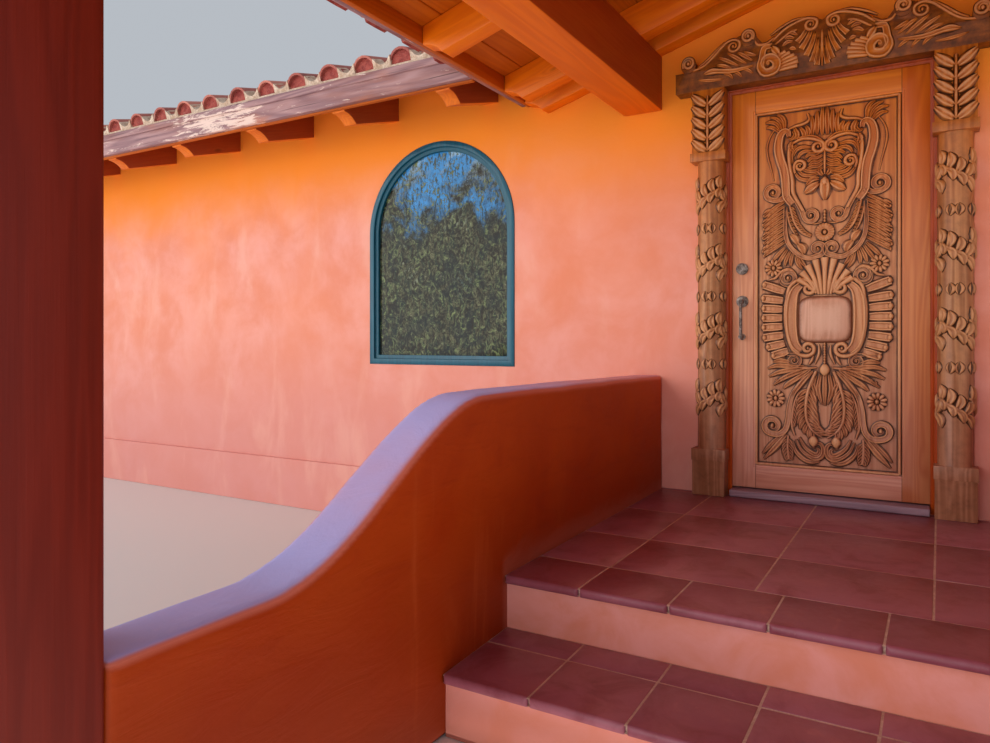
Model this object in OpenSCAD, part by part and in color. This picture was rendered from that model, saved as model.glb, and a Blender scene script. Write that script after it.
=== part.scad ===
// Adobe house with a tiled gable roof, a gabled entrance porch between curved low walls,
// arched windows and a carved door between columns.
// The origin is on the ground under the middle of the doorway, in the face of the front wall.
// +X runs to the right seen from the garden, +Y into the house, +Z up. Millimetres.

/* [House] */
// Length of the house over its end walls
house_l = 13200; // [11000:100:16000]
// Depth of the house over its front and back walls
house_d = 6000; // [5000:100:7500]
// Thickness of the adobe walls
wall_t = 350; // [250:10:430]
// Height of the finished floor over the ground
floor_h = 420; // [350:10:510]
// Height of the roof boards' underside over the ground, at the face of the front wall
eave_h = 2883; // [2840:1:3500]
// Thickness of the floor slab inside
slab_t = 150; // [100:10:200]
// Height of the plinth along the foot of the walls
plinth_h = 350; // [200:10:420]
// How far the plinth stands out of the wall
plinth_out = 25; // [10:1:40]

/* [Roof] */
// Slope of the roofs in degrees
pitch = 16.5; // [13:0.5:20]
// Reach of the rafter tails beyond the wall
eave_out = 567; // [450:1:700]
// Reach of the roof beyond the end walls
gable_out = 350; // [250:10:500]
// Width of a rafter
rafter_w = 100; // [80:1:120]
// Depth of a rafter, square to the slope
rafter_h = 168; // [130:1:195]
// Spacing of the rafters
rafter_step = 780; // [640:10:940]
// Length of the curved cut under a rafter tail
tail_l = 110; // [90:1:145]
// Upright step at a rafter's end, over that cut
tail_step = 8; // [4:1:14]
// Thickness of the roof boards
deck_t = 30; // [20:1:40]
// Thickness of the tile bed and tiles together
tile_t = 175; // [150:1:215]
// Reach of the tiles beyond the fascia
tile_out = 20; // [16:1:40]
// Thickness of the porch's tiles, which lie on its boards with a thin bed
porch_tile_t = 115; // [95:1:150]
// Reach of the tiles beyond the porch's side fascias
porch_tile_out = 110; // [60:1:140]
// Thickness of the fascia boards
fascia_t = 40; // [30:1:50]
// Height of the fascia boards
fascia_h = 150; // [140:1:180]
// How far the fascia hangs below the roof boards' underside
fascia_drop = 65; // [55:1:80]
// Thickness of the boards behind the fascias, which the rafters end against
backing_t = 30; // [20:1:40]
// How far those boards hang below the fascias
backing_drop = 8; // [4:1:40]
// Height of the strip along the top of the fascia boards
strip_h = 45; // [30:1:60]
// How far that strip stands out
strip_out = 14; // [8:1:25]
// Width of the ridge beam
ridge_beam_w = 150; // [120:1:200]
// Depth of the ridge beam
ridge_beam_h = 260; // [200:10:320]
// Radius of the ridge tiles
ridge_r = 120; // [100:1:145]

/* [Porch] */
// Clear width between the low walls
passage_w = 1646; // [1400:1:1980]
// Distance from the front wall to the back of the posts
porch_d = 3190; // [2700:10:3800]
// Side of a square post, and width of a beam
post_w = 220; // [180:1:260]
// Height of the beams' underside over the ground
beam_z = 2490; // [2300:1:2550]
// Distance from the door's axis to the ends of the porch rafters
porch_eave = 1660; // [1500:1:2000]
// Reach of the porch roof beyond the posts
porch_out = 350; // [250:10:500]
// Distance from the front wall to the first porch rafter
porch_rafter_y = 240; // [200:1:300]
// Thickness of the low walls
low_wall_t = 180; // [150:1:215]
// Height of a low wall at its outer end
low_wall_lo = 632; // [500:1:780]
// Height of a low wall at the top of its curve
low_wall_hi = 1046; // [900:1:1200]
// Fall of a low wall from its curve to the house
low_wall_fall = 8; // [0:1:80]
// Distance from the front wall to the foot of the curve
curve_foot = 2800; // [2500:10:3000]
// Distance from the front wall to the top of the curve
curve_top = 1850; // [1500:10:2100]
// Rounding of the low walls' top edges
low_wall_r = 25; // [15:1:60]

/* [Steps] */
// Depth of the landing from the front wall to its nosing
landing_d = 1739; // [1500:1:2000]
// Depth of the lower tread
tread_d = 381; // [320:1:460]
// Height of the lower tread over the ground, at its nosing
step_h = 201; // [160:1:240]
// Thickness of the paving tiles
paving_t = 31; // [25:1:38]
// How far a nosing stands out over its riser
nosing = 25; // [15:1:30]
// Fall of the landing from the door to its nosing
landing_fall = 17; // [0:1:25]

/* [Door] */
// Clear width of the doorway between the stops
door_w = 900; // [800:1:1000]
// Height of the doorway over the floor, up to the stop
door_h = 2095; // [1980:1:2130]
// Thickness of the door leaf
leaf_t = 45; // [38:1:55]
// Lap of the leaf behind the stops
stop_lap = 5; // [4:1:12]
// Clearance between the leaf and its frame
door_gap = 7; // [6:0.5:9]
// Depth of the stop in front of the leaf
stop_t = 20; // [15:1:30]
// Width of the frame members, seen from the porch
frame_w = 50; // [40:1:60]
// Height of the threshold
sill_h = 35; // [25:1:45]
// Width of the door's stiles and rails
stile_w = 115; // [95:1:140]
// Thickness of the carved panel
panel_t = 30; // [24:1:38]
// Radius of a hinge barrel
hinge_r = 7; // [6:0.5:8]
// Height of a hinge
hinge_h = 100; // [75:5:125]
// Distance from the side of the doorway to a column's axis
column_off = 100; // [95:1:150]
// Width of a column's square blocks
column_w = 165; // [140:1:175]
// Radius of a column's round shaft
shaft_r = 75; // [60:1:80]
// Reach of the carved header beyond the columns' axes
header_out = 170; // [110:1:220]
// Depth of the carved header
header_t = 90; // [60:1:110]

/* [Windows] */
// Width of an arched window
win_w = 1146; // [950:1:1300]
// Height of the window sill over the ground
win_sill = 1067; // [900:1:1200]
// Height of a window from its sill to the crown of its arch
win_h = 1460; // [1250:1:1530]
// Distance from the door's axis to a front window's axis
win_x = 2327; // [2250:1:3000]
// Width of the outer window frame
win_frame_w = 38; // [30:1:50]
// Width of the sash inside the frame
sash_w = 25; // [20:1:35]
// Depth of the window frame in the wall
win_frame_d = 90; // [70:1:120]
// Thickness of the window glass
glass_t = 18; // [12:1:24]

/* [Hidden] */

$fn = 48;

stucco = [0.85, 0.43, 0.24];
porch_stucco = [0.66, 0.25, 0.09];
timber = [0.74, 0.36, 0.11];
dark_timber = [0.42, 0.12, 0.06];
grey_timber = [0.45, 0.42, 0.44];
clay = [0.62, 0.27, 0.2];
paving_clay = [0.45, 0.13, 0.1];
carved_wood = [0.55, 0.32, 0.14];
teal = [0.05, 0.3, 0.31];
glass_tint = [0.4, 0.5, 0.55, 0.5];
aged_brass = [0.35, 0.32, 0.27];
concrete = [0.78, 0.55, 0.44];

// A cut reaches this far past what it cuts
past = 50;
// Boards lie this far off what carries them, so that rounded coordinates don't make them overlap
seat = 0.05;
// Longer than the whole house, for half spaces
far = 20000;

slope = tan(pitch);
half_l = house_l / 2;
mid_y = house_d / 2;
roof_x = half_l + gable_out;
barge_x = roof_x + fascia_t;
// The tiles reach this far beyond the barge boards
tile_side = 20;
tile_x = barge_x + tile_side;
fascia_y = eave_out + fascia_t;
tile_y = fascia_y + tile_out;

// Height of the main roof boards' underside at a distance y behind the front face
function main_z(y) = eave_h + y * slope;
// Upright height of a layer that is t thick, square to the slope
function upright(t) = t / cos(pitch);

eave_z = main_z(-eave_out);
// Size of the steps cut round the doorway's frame and round the door's panel
frame_step = 14;
panel_step = 5;
fascia_z0 = eave_z - fascia_drop;
fascia_z1 = fascia_z0 + fascia_h;
roof_t = deck_t + tile_t;
porch_roof_t = deck_t + porch_tile_t;

// Height of the porch roof boards' underside at a distance x from the door's axis
function porch_z(x) = eave_z + (porch_eave - abs(x)) * slope;

porch_side = porch_eave + fascia_t;
porch_tile_x = porch_side + porch_tile_out;
porch_front = porch_d + post_w + porch_out;
porch_barge_y = porch_front + fascia_t;
porch_tile_y = porch_barge_y + tile_side;
// On the valley line the distance from the door's axis and the depth y add up to this
valley = porch_eave - eave_out;

// Left sides of the left half's rafters: those beside the porch, and those behind it
first_rafter = porch_eave + rafter_w + 110;
// Clearance of the last rafter from the end wall
end_clear = 60;
outer_n = floor((half_l - wall_t - rafter_w - end_clear - first_rafter) / rafter_step);
outer_x = [for (k = [0:outer_n]) -first_rafter - k * rafter_step - rafter_w];
middle_x = first_rafter + rafter_w / 2;
inner_n = floor(middle_x / rafter_step);
inner_x = [for (j = [1:inner_n]) -middle_x + j * 2 * middle_x / (2 * inner_n + 1) - rafter_w / 2];
// How far the rafters behind the porch stop short of the front wall's face
rafter_seat = 100;
// The rafters end this far out, at the backing boards
tail_y = eave_out - backing_t;
porch_tail_x = porch_eave - backing_t;
tail_tip = fascia_z0 - backing_drop;
tail_flat_y = -tail_y + tail_l;
tail_top = tail_tip - tail_step;
tail_rise = tail_top - (main_z(tail_flat_y) - upright(rafter_h));
tail_r = (tail_l * tail_l + tail_rise * tail_rise) / (2 * tail_rise);

passage_x = passage_w / 2;
porch_rafters_n = floor((porch_d + post_w - porch_rafter_y) / rafter_step) + 1;

door_x = door_w / 2;
leaf_x = door_x + stop_lap;
rebate_x = leaf_x + door_gap;
frame_x = door_x + frame_w;
door_z0 = floor_h + sill_h;
door_z1 = floor_h + door_h;
// Clearances of the leaf: over the threshold, and behind the stops
leaf_under = 6;
leaf_behind = 5;
// The leaf laps this much more behind the stop along its top
top_lap = 3;
// The frame's head is this much narrower than its sides
head_less = 5;
leaf_z0 = door_z0 + leaf_under;
leaf_z1 = door_z1 + stop_lap + top_lap;
rebate_z = leaf_z1 + door_gap;
frame_z = door_z1 + frame_w - head_less;
leaf_y0 = stop_t + leaf_behind;
leaf_y1 = leaf_y0 + leaf_t;
knuckle_gap = 0.3;
hinge_y = leaf_y1 + hinge_r + knuckle_gap;
hinge_x = leaf_x + 1;
// Thickness of the hinge plates, and their reach onto the leaf
plate_t = 3;
plate_l = 30;
column_x = door_x + column_off;
header_l = column_x + header_out;
// The header covers this much of the frame's head
header_lap = 25;
header_z = frame_z - header_lap;
// The bottom rail is this much higher than a stile is wide, and the top rail this much less
rail_lo = 4;
rail_hi = 5;
panel_x = door_x - stile_w;
panel_z0 = leaf_z0 + stile_w + rail_lo;
panel_z1 = door_z1 - stile_w + rail_hi;

spring_z = win_sill + win_h - win_w / 2;

// Solid of a (y, z) outline between two places on X
module along_x(x0, x1) {
    translate([x0, 0, 0])
        rotate([90, 0, 90])
            linear_extrude(x1 - x0)
                children();
}

// Solid of an (x, z) outline between two places on Y
module along_y(y0, y1) {
    translate([0, y1, 0])
        rotate([90, 0, 0])
            linear_extrude(y1 - y0)
                children();
}

module box(lo, hi) {
    translate(lo)
        cube(hi - lo);
}

module flip_x() {
    mirror([1, 0, 0])
        children();
}

// The same piece at the back of the house
module at_back() {
    translate([0, house_d, 0])
        mirror([0, 1, 0])
            children();
}

// Outline of a layer of the front roof slope between two heights over the boards' underside
module main_layer(y0, y1, lo, hi) {
    polygon([
        [y0, main_z(y0) + upright(lo)],
        [y1, main_z(y1) + upright(lo)],
        [y1, main_z(y1) + upright(hi)],
        [y0, main_z(y0) + upright(hi)]
    ]);
}

// Outline of a layer of the porch's left roof slope, from its eave side to the ridge
module porch_layer(x0, lo, hi) {
    polygon([
        [-x0, porch_z(x0) + upright(lo)],
        [0, porch_z(0) + upright(lo)],
        [0, porch_z(0) + upright(hi)],
        [-x0, porch_z(x0) + upright(hi)]
    ]);
}

// Everything under the top of the main roof boards, behind the front face
module below_main_deck() {
    along_x(-far / 2, far / 2)
        polygon([
            [0, 0],
            [mid_y, 0],
            [mid_y, main_z(mid_y) + upright(deck_t + seat)],
            [0, main_z(0) + upright(deck_t + seat)]
        ]);
}

// Plan of the wedge that the porch roof covers, in front of the valley lines
module valley_plan() {
    polygon([
        [0, valley],
        [-far, valley - far],
        [far, valley - far]
    ]);
}

module valley_wedge() {
    linear_extrude(far / 2)
        valley_plan();
}

// Outline of an arched window, drawn in by the given margin
module arch(margin) {
    r = win_w / 2 - margin;
    translate([0, spring_z])
        circle(r = r, $fn = 96);
    translate([-r, win_sill + margin])
        square([2 * r, spring_z - win_sill - margin]);
}

module window_hole(x) {
    translate([x, 0, 0])
        along_y(-past, wall_t + past)
            arch(0);
}

// Places in the wall's depth: the frame's front, the sash's front and back, and the glass
win_front = -6;
sash_front = 12;
sash_back = 52;
glass_y = 32;

// Frame and sash of one arched window in a front-facing wall, at the origin
module window_frame() {
    difference() {
        along_y(win_front, win_frame_d)
            arch(0);
        along_y(-past, win_frame_d + past)
            arch(win_frame_w + sash_w);
        along_y(-past, sash_front)
            arch(win_frame_w);
        along_y(sash_back, win_frame_d + past)
            arch(win_frame_w);
    }
}

module window_glass() {
    along_y(glass_y, glass_y + glass_t)
        arch(win_frame_w + sash_w);
}

// One rafter of the front slope, with its left side at x. A pocket for it is cut up by over
module rafter(x, y0, tail, over = 0) {
    difference() {
        along_x(x, x + rafter_w)
            main_layer(y0, mid_y - ridge_beam_w / 2, -rafter_h, over);
        if (tail)
            translate([x - past, -tail_y, tail_top - tail_r])
                rotate([0, 90, 0])
                    cylinder(r = tail_r, h = rafter_w + 2 * past, $fn = 96);
    }
}

// Rafters of the front slope's left half: with tails beside the porch, and behind it in the wall
module left_rafters(over = 0) {
    for (x = outer_x)
        rafter(x, -tail_y, true, over);
    for (x = inner_x)
        rafter(x, rafter_seat, false, x < -valley ? over : 0);
}

module left_back_rafters(over = 0) {
    for (x = concat(outer_x, inner_x))
        rafter(x, -tail_y, true, over);
}

module main_rafters() {
    color(timber) {
        left_rafters();
        flip_x() left_rafters();
        at_back() left_back_rafters();
        at_back() flip_x() left_back_rafters();
    }
}

// Body of the front wall from its left end to the doorway's middle, with no openings
module front_wall_mass() {
    along_x(-half_l, 0)
        polygon([[0, 0], [wall_t, 0], [wall_t, main_z(wall_t)], [0, main_z(0)]]);
    along_x(-valley, 0)
        polygon([
            [0, 0],
            [wall_t, 0],
            [wall_t, main_z(wall_t) + upright(deck_t)],
            [0, main_z(0) + upright(deck_t)]
        ]);
    along_y(0, wall_t)
        polygon([[-valley, 0], [0, 0], [0, porch_z(0)], [-valley, porch_z(valley)]]);
}

module front_wall_half() {
    difference() {
        union() {
            front_wall_mass();
            box([-half_l, -plinth_out, 0], [-passage_x - low_wall_t, past, plinth_h]);
        }
        box([-frame_x, -past, -past], [past, wall_t + past, far]);
        left_rafters(past);
        window_hole(-win_x);
    }
}

module front_wall_left() {
    color(stucco) front_wall_half();
}

module front_wall_right() {
    color(stucco) flip_x() front_wall_half();
}

module door_head_half() {
    difference() {
        intersection() {
            front_wall_mass();
            box([-frame_x, 0, frame_z], [0, wall_t, far]);
        }
        left_rafters();
    }
}

module door_head_wall() {
    color(stucco) {
        door_head_half();
        flip_x() door_head_half();
    }
}

module back_wall() {
    color(stucco)
        at_back()
            difference() {
                union() {
                    along_x(-half_l, half_l)
                        polygon([[0, 0], [wall_t, 0], [wall_t, main_z(wall_t)], [0, main_z(0)]]);
                    box([-half_l, -plinth_out, 0], [half_l, past, plinth_h]);
                }
                left_back_rafters(past);
                flip_x() left_back_rafters(past);
                window_hole(-win_x);
                window_hole(win_x);
            }
}

module end_wall() {
    difference() {
        union() {
            along_x(-half_l, -half_l + wall_t)
                polygon([
                    [wall_t, 0],
                    [house_d - wall_t, 0],
                    [house_d - wall_t, main_z(wall_t)],
                    [mid_y, main_z(mid_y)],
                    [wall_t, main_z(wall_t)]
                ]);
            box([-half_l - plinth_out, -plinth_out, 0], [-half_l, house_d + plinth_out, plinth_h]);
        }
        ridge_beam_solid(past);
        translate([-half_l, mid_y, 0])
            rotate([0, 0, -90])
                window_hole(0);
    }
}

module left_end_wall() {
    color(stucco) end_wall();
}

module right_end_wall() {
    color(stucco) flip_x() end_wall();
}

module floor_slab() {
    color(concrete)
        box([-half_l + wall_t, wall_t, floor_h - slab_t], [half_l - wall_t, house_d - wall_t, floor_h]);
}

module ridge_beam_solid(over = 0) {
    beam_x = half_l - wall_t / 2;
    side_z = main_z(mid_y - ridge_beam_w / 2) + over;
    along_x(-beam_x, beam_x)
        polygon([
            [mid_y - ridge_beam_w / 2, main_z(mid_y) - ridge_beam_h],
            [mid_y + ridge_beam_w / 2, main_z(mid_y) - ridge_beam_h],
            [mid_y + ridge_beam_w / 2, side_z],
            [mid_y, main_z(mid_y) + over],
            [mid_y - ridge_beam_w / 2, side_z]
        ]);
}

module ridge_beam() {
    color(timber) ridge_beam_solid();
}

module front_deck_half() {
    difference() {
        along_x(-roof_x, 0)
            main_layer(-eave_out, mid_y, 0, deck_t);
        box([-porch_side, -far, 0], [past, 0, far]);
        box([-valley, -far, 0], [past, wall_t, far]);
    }
}

module front_deck_left() {
    color(timber) front_deck_half();
}

module front_deck_right() {
    color(timber) flip_x() front_deck_half();
}

module back_deck() {
    color(timber)
        at_back()
            along_x(-roof_x, roof_x)
                main_layer(-eave_out, mid_y, 0, deck_t);
}

// Room for the fascia, up to x1, and the barge board under the tiles of the left part of a slope
module tile_rebates(x1) {
    box([-far, -tile_y - past, 0], [x1, -eave_out, fascia_z1]);
    along_x(-tile_x - past, -roof_x)
        main_layer(-tile_y - past, mid_y + past, -fascia_drop, deck_t + fascia_h / 2 + seat);
}

module front_tiles_half() {
    difference() {
        along_x(-tile_x, 0)
            main_layer(-tile_y, mid_y, deck_t + seat, roof_t);
        tile_rebates(-porch_side);
        valley_wedge();
    }
}

module front_tiles_left() {
    color(clay) front_tiles_half();
}

module front_tiles_right() {
    color(clay) flip_x() front_tiles_half();
}

module back_tiles() {
    color(clay)
        at_back()
            difference() {
                along_x(-tile_x, tile_x)
                    main_layer(-tile_y, mid_y, deck_t + seat, roof_t);
                tile_rebates(past);
                flip_x() tile_rebates(past);
            }
}

// Everything under the tiles of the main roof
module below_main_tiles() {
    along_x(-far / 2, far / 2)
        polygon([
            [-tile_y, 0],
            [house_d + tile_y, 0],
            [house_d + tile_y, main_z(-tile_y) + upright(roof_t + seat)],
            [mid_y, main_z(mid_y) + upright(roof_t + seat)],
            [-tile_y, main_z(-tile_y) + upright(roof_t + seat)]
        ]);
}

module ridge_tiles() {
    color(clay)
        difference() {
            translate([-tile_x, mid_y, main_z(mid_y) + upright(roof_t) - ridge_r / 2])
                rotate([0, 90, 0])
                    cylinder(r = ridge_r, h = 2 * tile_x);
            below_main_tiles();
        }
}

// The strip of the front fascia ends where the porch's tiles begin
strip_x = porch_side + strip_out;

module fascia_left() {
    box([-roof_x, -fascia_y, fascia_z0], [-porch_side, -eave_out, fascia_z1]);
    box([-roof_x, -fascia_y - strip_out, fascia_z1 - strip_h], [-strip_x, -fascia_y, fascia_z1]);
}

module front_fascias() {
    color(grey_timber) {
        fascia_left();
        flip_x() fascia_left();
    }
}

module back_fascia() {
    color(grey_timber)
        at_back() {
            box([-roof_x, -fascia_y, fascia_z0], [roof_x, -eave_out, fascia_z1]);
            box([-roof_x, -fascia_y - strip_out, fascia_z1 - strip_h], [roof_x, -fascia_y, fascia_z1]);
        }
}

// Board behind the front fascia, up to the roof boards, between two places on X
module backing(x0, x1) {
    along_x(x0, x1)
        polygon([
            [-eave_out, tail_tip],
            [-tail_y, tail_tip],
            [-tail_y, main_z(-tail_y)],
            [-eave_out, main_z(-eave_out)]
        ]);
}

module eave_boards() {
    color(timber) {
        backing(-roof_x, -porch_side);
        flip_x() backing(-roof_x, -porch_side);
        at_back() backing(-roof_x, roof_x);
    }
}

module barge_board() {
    lo = -upright(fascia_h / 2 - deck_t);
    along_x(-barge_x, -roof_x)
        union() {
            main_layer(-fascia_y, mid_y, lo, deck_t + fascia_h / 2);
            translate([house_d, 0])
                mirror([1, 0])
                    main_layer(-fascia_y, mid_y, lo, deck_t + fascia_h / 2);
        }
}

module barge_boards() {
    color(grey_timber) {
        barge_board();
        flip_x() barge_board();
    }
}

landing_y = landing_d - nosing;
step_y = landing_y + tread_d;
// Fall of the lower tread to its nosing
tread_fall = 16;
step_back_z = step_h + tread_fall;

module porch_base() {
    color(porch_stucco) {
        along_x(-passage_x, passage_x)
            polygon([
                [0, 0],
                [0, floor_h - paving_t],
                [-landing_y, floor_h - landing_fall - paving_t],
                [-landing_y, step_back_z - paving_t],
                [-step_y, step_h - paving_t],
                [-step_y, 0]
            ]);
        box([-frame_x, 0, 0], [frame_x, wall_t, floor_h]);
    }
}

// Paving with a round nosing, its top falling from z1 at y1 to z0 at y0
module paving(y0, z0, y1, z1) {
    r = paving_t / 2;
    along_x(-passage_x, passage_x)
        union() {
            polygon([[y0 + r, z0 - paving_t], [y1, z1 - paving_t], [y1, z1], [y0 + r, z0]]);
            translate([y0 + r, z0 - r])
                circle(r = r);
        }
}

module porch_paving() {
    color(paving_clay) {
        paving(-landing_d, floor_h - landing_fall, 0, floor_h);
        paving(-landing_d - tread_d, step_h, -landing_y, step_back_z);
    }
}

// Height of a low wall at a distance d from the front wall
function blend(t) = t * t * (3 - 2 * t);
function low_wall_top(d) =
    d < curve_top ? low_wall_hi - low_wall_fall * (1 - d / curve_top)
    : d > curve_foot ? low_wall_lo
    : low_wall_hi + (low_wall_lo - low_wall_hi) * blend((d - curve_top) / (curve_foot - curve_top));

curve_parts = 44;
round_parts = 8;
low_wall_places = concat(
    [0],
    [for (i = [0:curve_parts]) curve_top + (curve_foot - curve_top) * i / curve_parts],
    [porch_d]
);
// Section of a low wall as [across, below the top], from one foot over the top to the other
low_wall_section = concat(
    [for (i = [0:round_parts]) let (a = 90 * i / round_parts)
        [low_wall_t / 2 - low_wall_r * (1 - cos(a)), -low_wall_r * (1 - sin(a))]],
    [for (i = [0:round_parts]) let (a = 90 * i / round_parts)
        [-low_wall_t / 2 + low_wall_r * (1 - sin(a)), -low_wall_r * (1 - cos(a))]]
);

// Low wall as sections along Y, its middle at x = 0
module low_wall() {
    rows = len(low_wall_places);
    n = len(low_wall_section) + 2;
    points = [
        for (d = low_wall_places)
            for (j = [0:n - 1])
                j < n - 2 ? [low_wall_section[j].x, -d, low_wall_top(d) + low_wall_section[j].y]
                : [(j == n - 2 ? -1 : 1) * low_wall_t / 2, -d, 0]
    ];
    sides = [
        for (i = [0:rows - 2])
            for (j = [0:n - 1])
                [i * n + j, i * n + (j + 1) % n, (i + 1) * n + (j + 1) % n, (i + 1) * n + j]
    ];
    near = [[for (j = [n - 1:-1:0]) j]];
    end = [[for (j = [0:n - 1]) (rows - 1) * n + j]];
    polyhedron(points = points, faces = concat(sides, near, end));
}

module low_wall_left() {
    color(porch_stucco)
        translate([-passage_x - low_wall_t / 2, 0, 0])
            low_wall();
}

module low_wall_right() {
    color(porch_stucco)
        flip_x()
            translate([-passage_x - low_wall_t / 2, 0, 0])
                low_wall();
}

module post() {
    box([-passage_x - post_w, -porch_d - post_w, 0], [-passage_x, -porch_d, beam_z]);
}

module porch_posts() {
    color(dark_timber) {
        post();
        flip_x() post();
    }
}

// Beam with its top planed to the slope, so that the rafters lie flat on it
module porch_beam() {
    x0 = passage_x + post_w;
    along_y(-porch_front, 0)
        polygon([
            [-x0, beam_z],
            [-passage_x, beam_z],
            [-passage_x, porch_z(passage_x) - upright(rafter_h + seat)],
            [-x0, porch_z(x0) - upright(rafter_h + seat)]
        ]);
}

module porch_beam_left() {
    color(timber) porch_beam();
}

module porch_beam_right() {
    color(timber) flip_x() porch_beam();
}

module porch_ridge_beam() {
    w = rafter_w / 2;
    color(timber)
        along_y(-porch_front, 0)
            polygon([
                [-w, porch_z(0) - ridge_beam_h],
                [w, porch_z(0) - ridge_beam_h],
                [w, porch_z(w)],
                [0, porch_z(0)],
                [-w, porch_z(w)]
            ]);
}

// One rafter of the porch's left slope, its far side at y
module porch_rafter(y) {
    x1 = rafter_w / 2;
    difference() {
        along_y(y - rafter_w, y)
            polygon([
                [-porch_tail_x, porch_z(porch_tail_x) - upright(rafter_h)],
                [-x1, porch_z(x1) - upright(rafter_h)],
                [-x1, porch_z(x1)],
                [-porch_tail_x, porch_z(porch_tail_x)]
            ]);
        translate([-porch_tail_x, y + past, tail_top - tail_r])
            rotate([90, 0, 0])
                cylinder(r = tail_r, h = rafter_w + 2 * past, $fn = 96);
    }
}

module porch_rafters_half() {
    porch_rafter(0);
    for (k = [0:porch_rafters_n - 1])
        porch_rafter(-porch_rafter_y - k * rafter_step);
}

module porch_rafters() {
    color(timber) {
        porch_rafters_half();
        flip_x() porch_rafters_half();
    }
}

module porch_deck_half() {
    difference() {
        along_y(-porch_front, valley)
            porch_layer(porch_eave, seat, deck_t);
        below_main_deck();
    }
}

module porch_deck_left() {
    color(timber) porch_deck_half();
}

module porch_deck_right() {
    color(timber) flip_x() porch_deck_half();
}

// Side fascia under the tiles, and its end that closes the main roof's edge up to the wall
module porch_fascia_left() {
    along_y(-porch_front, -eave_out)
        polygon([
            [-porch_side, fascia_z0],
            [-porch_eave, fascia_z0],
            [-porch_eave, porch_z(porch_eave) + upright(deck_t)],
            [-porch_side, porch_z(porch_side) + upright(deck_t)]
        ]);
    along_x(-porch_side, -porch_eave)
        polygon([
            [-eave_out - past, fascia_z0],
            [0, fascia_z0],
            [0, main_z(0) + upright(deck_t)],
            [-eave_out, main_z(-eave_out) + upright(deck_t)],
            [-eave_out - past, porch_z(porch_side)]
        ]);
}

module porch_backing_left() {
    along_y(-porch_front, 0)
        polygon([
            [-porch_eave, tail_tip],
            [-porch_tail_x, tail_tip],
            [-porch_tail_x, porch_z(porch_tail_x)],
            [-porch_eave, porch_z(porch_eave)]
        ]);
}

module porch_eave_boards() {
    color(timber) {
        porch_backing_left();
        flip_x() porch_backing_left();
    }
}

module porch_barge_left(y1) {
    lo = -upright(fascia_h / 2 - deck_t);
    along_y(-porch_barge_y, y1)
        porch_layer(porch_side, lo, deck_t + fascia_h / 2);
}

module porch_fascias() {
    color(grey_timber) {
        porch_fascia_left();
        flip_x() porch_fascia_left();
        porch_barge_left(-porch_front);
        flip_x() porch_barge_left(-porch_front);
    }
}

module porch_tiles_half() {
    difference() {
        intersection() {
            along_y(-porch_tile_y, valley)
                porch_layer(porch_tile_x, deck_t + seat, porch_roof_t);
            valley_wedge();
        }
        along_y(-porch_tile_y - past, -porch_front)
            porch_layer(porch_tile_x + past, -fascia_h, deck_t + fascia_h / 2 + seat);
    }
}

module porch_tiles_left() {
    color(clay) porch_tiles_half();
}

module porch_tiles_right() {
    color(clay) flip_x() porch_tiles_half();
}

module porch_ridge_tiles() {
    peak = porch_z(0) + upright(porch_roof_t + seat);
    foot = porch_z(porch_tile_x) + upright(porch_roof_t + seat);
    color(clay)
        difference() {
            translate([0, valley + past, peak - ridge_r / 2])
                rotate([90, 0, 0])
                    cylinder(r = ridge_r, h = valley + past + porch_tile_y);
            along_y(-far / 2, far / 2)
                polygon([[-porch_tile_x, 0], [porch_tile_x, 0], [porch_tile_x, foot], [0, peak],
                    [-porch_tile_x, foot]]);
            below_main_tiles();
        }
}

// Door frame with a stop in front of the leaf, which opens inwards
module door_frame() {
    color(dark_timber)
        difference() {
            box([-frame_x, 0, floor_h], [frame_x, leaf_y1, frame_z]);
            box([-door_x, -past, 0], [door_x, leaf_y1 + past, door_z1]);
            box([-door_x - frame_step, -past, 0], [door_x + frame_step, stop_t / 2, door_z1 + frame_step]);
            box([-rebate_x, stop_t, 0], [rebate_x, leaf_y1 + past, rebate_z]);
        }
}

// Reach of the threshold before the wall, and behind the leaf
sill_front = 60;
sill_back = 30;
module door_threshold() {
    color(carved_wood)
        box([-door_x, -sill_front, floor_h], [door_x, leaf_y1 + sill_back, door_z0]);
}

module door_leaf() {
    color(carved_wood)
        difference() {
            box([-leaf_x, leaf_y0, leaf_z0], [leaf_x, leaf_y1, leaf_z1]);
            box([-panel_x, 0, panel_z0], [panel_x, leaf_y1 + past, panel_z1]);
            box([-panel_x - 2 * panel_step, 0, panel_z0 - 2 * panel_step],
                [panel_x + 2 * panel_step, leaf_y0 + panel_step, panel_z1 + 2 * panel_step]);
        }
}

// Carved panel with a raised field, which the margin runs round
module door_panel() {
    margin = 60;
    field_out = 10;
    y0 = leaf_y0 + 8;
    y1 = y0 + panel_t;
    color(carved_wood) {
        box([-panel_x, y0, panel_z0], [panel_x, y1, panel_z1]);
        box([-panel_x + margin, y0 - field_out, panel_z0 + margin],
            [panel_x - margin, y1, panel_z1 - margin]);
    }
}

// Round part of the lockset that stands out of the leaf's face, h over the floor
module lock_round(h, r, out) {
    translate([0, 0, h])
        rotate([90, 0, 0])
            cylinder(r = r, h = out);
}

// The lockset's axis lies this far from the side of the doorway; heights are over the floor
backset = 50;
lock_x = backset - door_x;
bolt_h = 1180;
pull_hi = 1010;
pull_lo = 825;
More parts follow.
